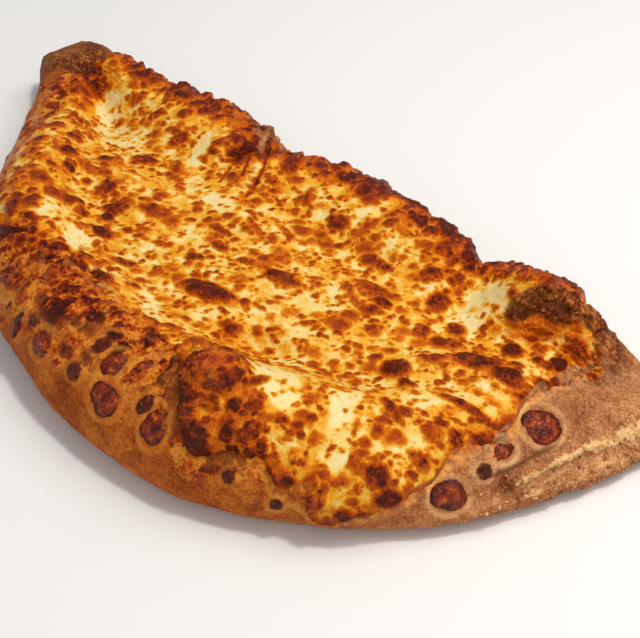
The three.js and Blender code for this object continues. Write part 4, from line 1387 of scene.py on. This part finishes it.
burst = span(centred(place, 0.0022, 3) * 0.9 + field("spot"), 0.3, 0.65, 0, 0.97)
burnt = colour_row(noise(place, 0.0018, 3, 0.65), BURST_COLOURS)
plug(blended(burst, toasted(place, field("char"), colour), burnt), shader, "Base Color")
wet = maths("MAXIMUM", oil, field("spot"))
plug(span(wet, 0, 1, 0.7, 0.18), shader, "Roughness")
shader.inputs["Specular IOR Level"].default_value = 0.13
bumped(shader, grain + speckle * 1.6 * wet, BUMP)
grown(crust, crust_tree, crust_material)

# %% [markdown]
# ## Browned cheese spots
# Shreds of cheese that fell on the bare rim melted into small cushions and browned through. Each is a
# round grid laid on the skin, domed in the middle, with its edge just inside the dough.

# %% Cheese spots on the rim
SPOT_RINGS, SPOT_SIDES = 18, 64
SPOT_SINK, SPOT_EDGE_SUNK = 1.2, 0.4


def spot_rings(around, up, long, wide, angle, high):
    """Rings of points of one spot, the places they rest on, and how far inside its edge each lies."""
    tangent_around = (skin(around + STEP, up) - skin(around - STEP, up)) / (2 * STEP)
    tangent_up = (skin(around, up + STEP) - skin(around, up - STEP)) / (2 * STEP)
    out = out_of(around, up)
    turn = math.radians(angle)
    side = np.array([math.cos(turn), math.sin(turn), 0])
    side = unit(side - out * side.dot(out))
    r = np.linspace(0, 1, SPOT_RINGS)[:, None]
    sweep = np.arange(SPOT_SIDES) / SPOT_SIDES * 2 * np.pi
    phase = 10 * np.pi * (around + up)
    uneven = 1 + 0.08 * np.sin(2 * sweep + phase) + 0.06 * np.sin(3 * sweep + 2 * phase)
    uneven = uneven + 0.03 * np.sin(5 * sweep + phase) + 0.015 * np.sin(11 * sweep + 3 * phase)
    wished = (r * uneven * np.cos(sweep) * long)[..., None] * side
    wished = wished + (r * uneven * np.sin(sweep) * wide)[..., None] * np.cross(out, side)
    moves = wished @ np.linalg.pinv(np.stack([tangent_around, tangent_up], -1)).T
    arounds, ups = around + moves[..., 0], up + moves[..., 1]
    rest = skin(arounds, ups)
    dome = (high - SPOT_SINK + SPOT_EDGE_SUNK) * (1 - r**2.2) ** 0.75 - SPOT_EDGE_SUNK
    return rest + out_of(arounds, ups) * dome[..., None], rest, 1 - r + 0 * arounds


points, rests, inner = (np.array(part) for part in zip(*(spot_rings(*spot) for spot in SPOTS)))
quads = ring_faces(SPOT_RINGS, SPOT_SIDES)[:, [0, 3, 2, 1]]
base = np.arange((SPOT_RINGS - 1) * SPOT_SIDES, SPOT_RINGS * SPOT_SIDES)[::-1]
faces = []
for first in np.arange(len(SPOTS)) * SPOT_RINGS * SPOT_SIDES:
    faces += (quads + first).tolist() + [(base + first).tolist()]
browned_spots = closed_piece("browned_spots", points, faces, {"rest": rests * MM, "inner": inner})

# %% [markdown]
# The cushions are crinkled by a smooth cell pattern, darkest where they are thin at the edge, and glossy.

# %% Relief and finish of the spots
SPOT_COLOURS = [(0.28, 46, 12, 6), (0.44, 92, 24, 6), (0.58, 134, 44, 8), (0.76, 206, 96, 18)]


def spot_height(given, field):
    crinkles = cells(field("rest", vector=True), 0.0028, feature="SMOOTH_F1")
    return crinkles * given["Crinkles"] * span(field("inner"), 0, 0.25)


spot_material, shader, field = painted("browned_cheese")
place = field("rest", vector=True)
patchy = centred(place, 0.0012) * 0.35 + noise(place, 0.0034, 3, 0.6)
patchy = patchy + span(field("inner"), 0.0, 0.35, -0.1, 0.02)
plug(colour_row(patchy, SPOT_COLOURS), shader, "Base Color")
shader.inputs["Roughness"].default_value = 0.2
shader.inputs["Specular IOR Level"].default_value = 0.22
bumped(shader, noise(place, 0.0014), 0.0012)
grown(browned_spots, relief_tree("spot relief", spot_height, {"Crinkles": -0.0009}), spot_material)

# %% [markdown]
# ## Crumbs on the torn seam
# Crumbs of browned crust cling where the two layers parted. Setting each by hand would look arranged, so
# they are scattered by Geometry Nodes over the finished crust, as densely as a field on it asks. Each is
# a small ball, stretched and turned at random and sunk halfway in; a seed keeps them the same each time.
# The balls have only twenty faces, because there are hundreds of them.


# %% Scatter the crumbs
def scatter_tree(name, density_field, sizes):
    """A tree that scatters stretched balls over a mesh."""
    tree, given = new_tree(name, sizes)
    density = fields_of(tree)(density_field) * given["Density"]
    points = add(tree, "GeometryNodeDistributePointsOnFaces",
                 {"Mesh": given["Geometry"], "Density": density, "Seed": given["Seed"]})
    ball = add(tree, "GeometryNodeMeshIcoSphere", {"Radius": 1.0, "Subdivisions": 1})
    stretched = add(tree, "FunctionNodeRandomValue", {0: (0.6, 0.6, 0.6), 1: (1.3, 1.3, 1.3), "Seed": 3},
                    data_type="FLOAT_VECTOR")
    large = add(tree, "FunctionNodeRandomValue",
                {2: given["Smallest"], 3: given["Largest"], "Seed": 5}, 1, data_type="FLOAT")
    turned = add(tree, "FunctionNodeRandomValue", {0: (0.0, 0.0, 0.0), 1: (6.28, 6.28, 6.28), "Seed": 8},
                 data_type="FLOAT_VECTOR")
    placed = add(tree, "GeometryNodeInstanceOnPoints",
                 {"Points": points, "Instance": ball, "Rotation": turned, "Scale": scaled(stretched, large)})
    end_tree(tree, placed, given["Material"])
    return tree


CRUMB_COLOURS = [(0.35, 92, 46, 18), (0.5, 176, 106, 50), (0.66, 236, 182, 116)]
BALL_POINTS = 12

crumb_material, shader, field = painted("crumbs")
place = add(crumb_material.node_tree, "ShaderNodeTexCoord", out="Object")
plug(colour_row(noise(place, 0.0030, 2, 0.7), CRUMB_COLOURS), shader, "Base Color")
shader.inputs["Roughness"].default_value = 0.75
crumbs = bpy.data.objects.new("crumbs", crust.data.copy())
bpy.context.scene.collection.objects.link(crumbs)
grown(crumbs, scatter_tree("crumb scatter", "crumbs", {
    "Density": 150000.0, "Smallest": 0.0003, "Largest": 0.0008, "Seed": 11}), crumb_material)
crumbs.data.shade_smooth()
print("crumbs:", len(crumbs.data.vertices) // BALL_POINTS)

# %% [markdown]
# ## Dressing the solid
# Each piece rides on the body and hides the solids it stands for; its finish was set when its tree ran.
# Relief pushes a few points out past the solid's box, or a crumb under the table, so they are moved back
# into the box.

# %% Dress the solid
PIECES = [
    (sheet, "melted_cheese", ["cheese_sheet"]), (crust, "crust", ["crust"]),
    (browned_spots, "browned_cheese", [f"cheese_spot_{i + 1:02d}" for i in range(len(SPOTS))]),
    (crumbs, "crust", []),
]
low_corner, high_corner = np.array(cad_box[0]), np.array(cad_box[1])
for piece, slot, nodes in PIECES:
    places = np.empty(len(piece.data.vertices) * 3, np.float32)
    piece.data.vertices.foreach_get("co", places)
    kept = np.clip(places.reshape(-1, 3), low_corner, high_corner)
    piece.data.vertices.foreach_set("co", kept.ravel())
    piece.data.update()
    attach(piece, "root")
    if nodes:
        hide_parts(*nodes)
    moved_back = (np.abs(kept - places.reshape(-1, 3)) > 1e-7).any(1).sum()
    print(piece.name, "points moved back into the box:", int(moved_back))

# %% [markdown]
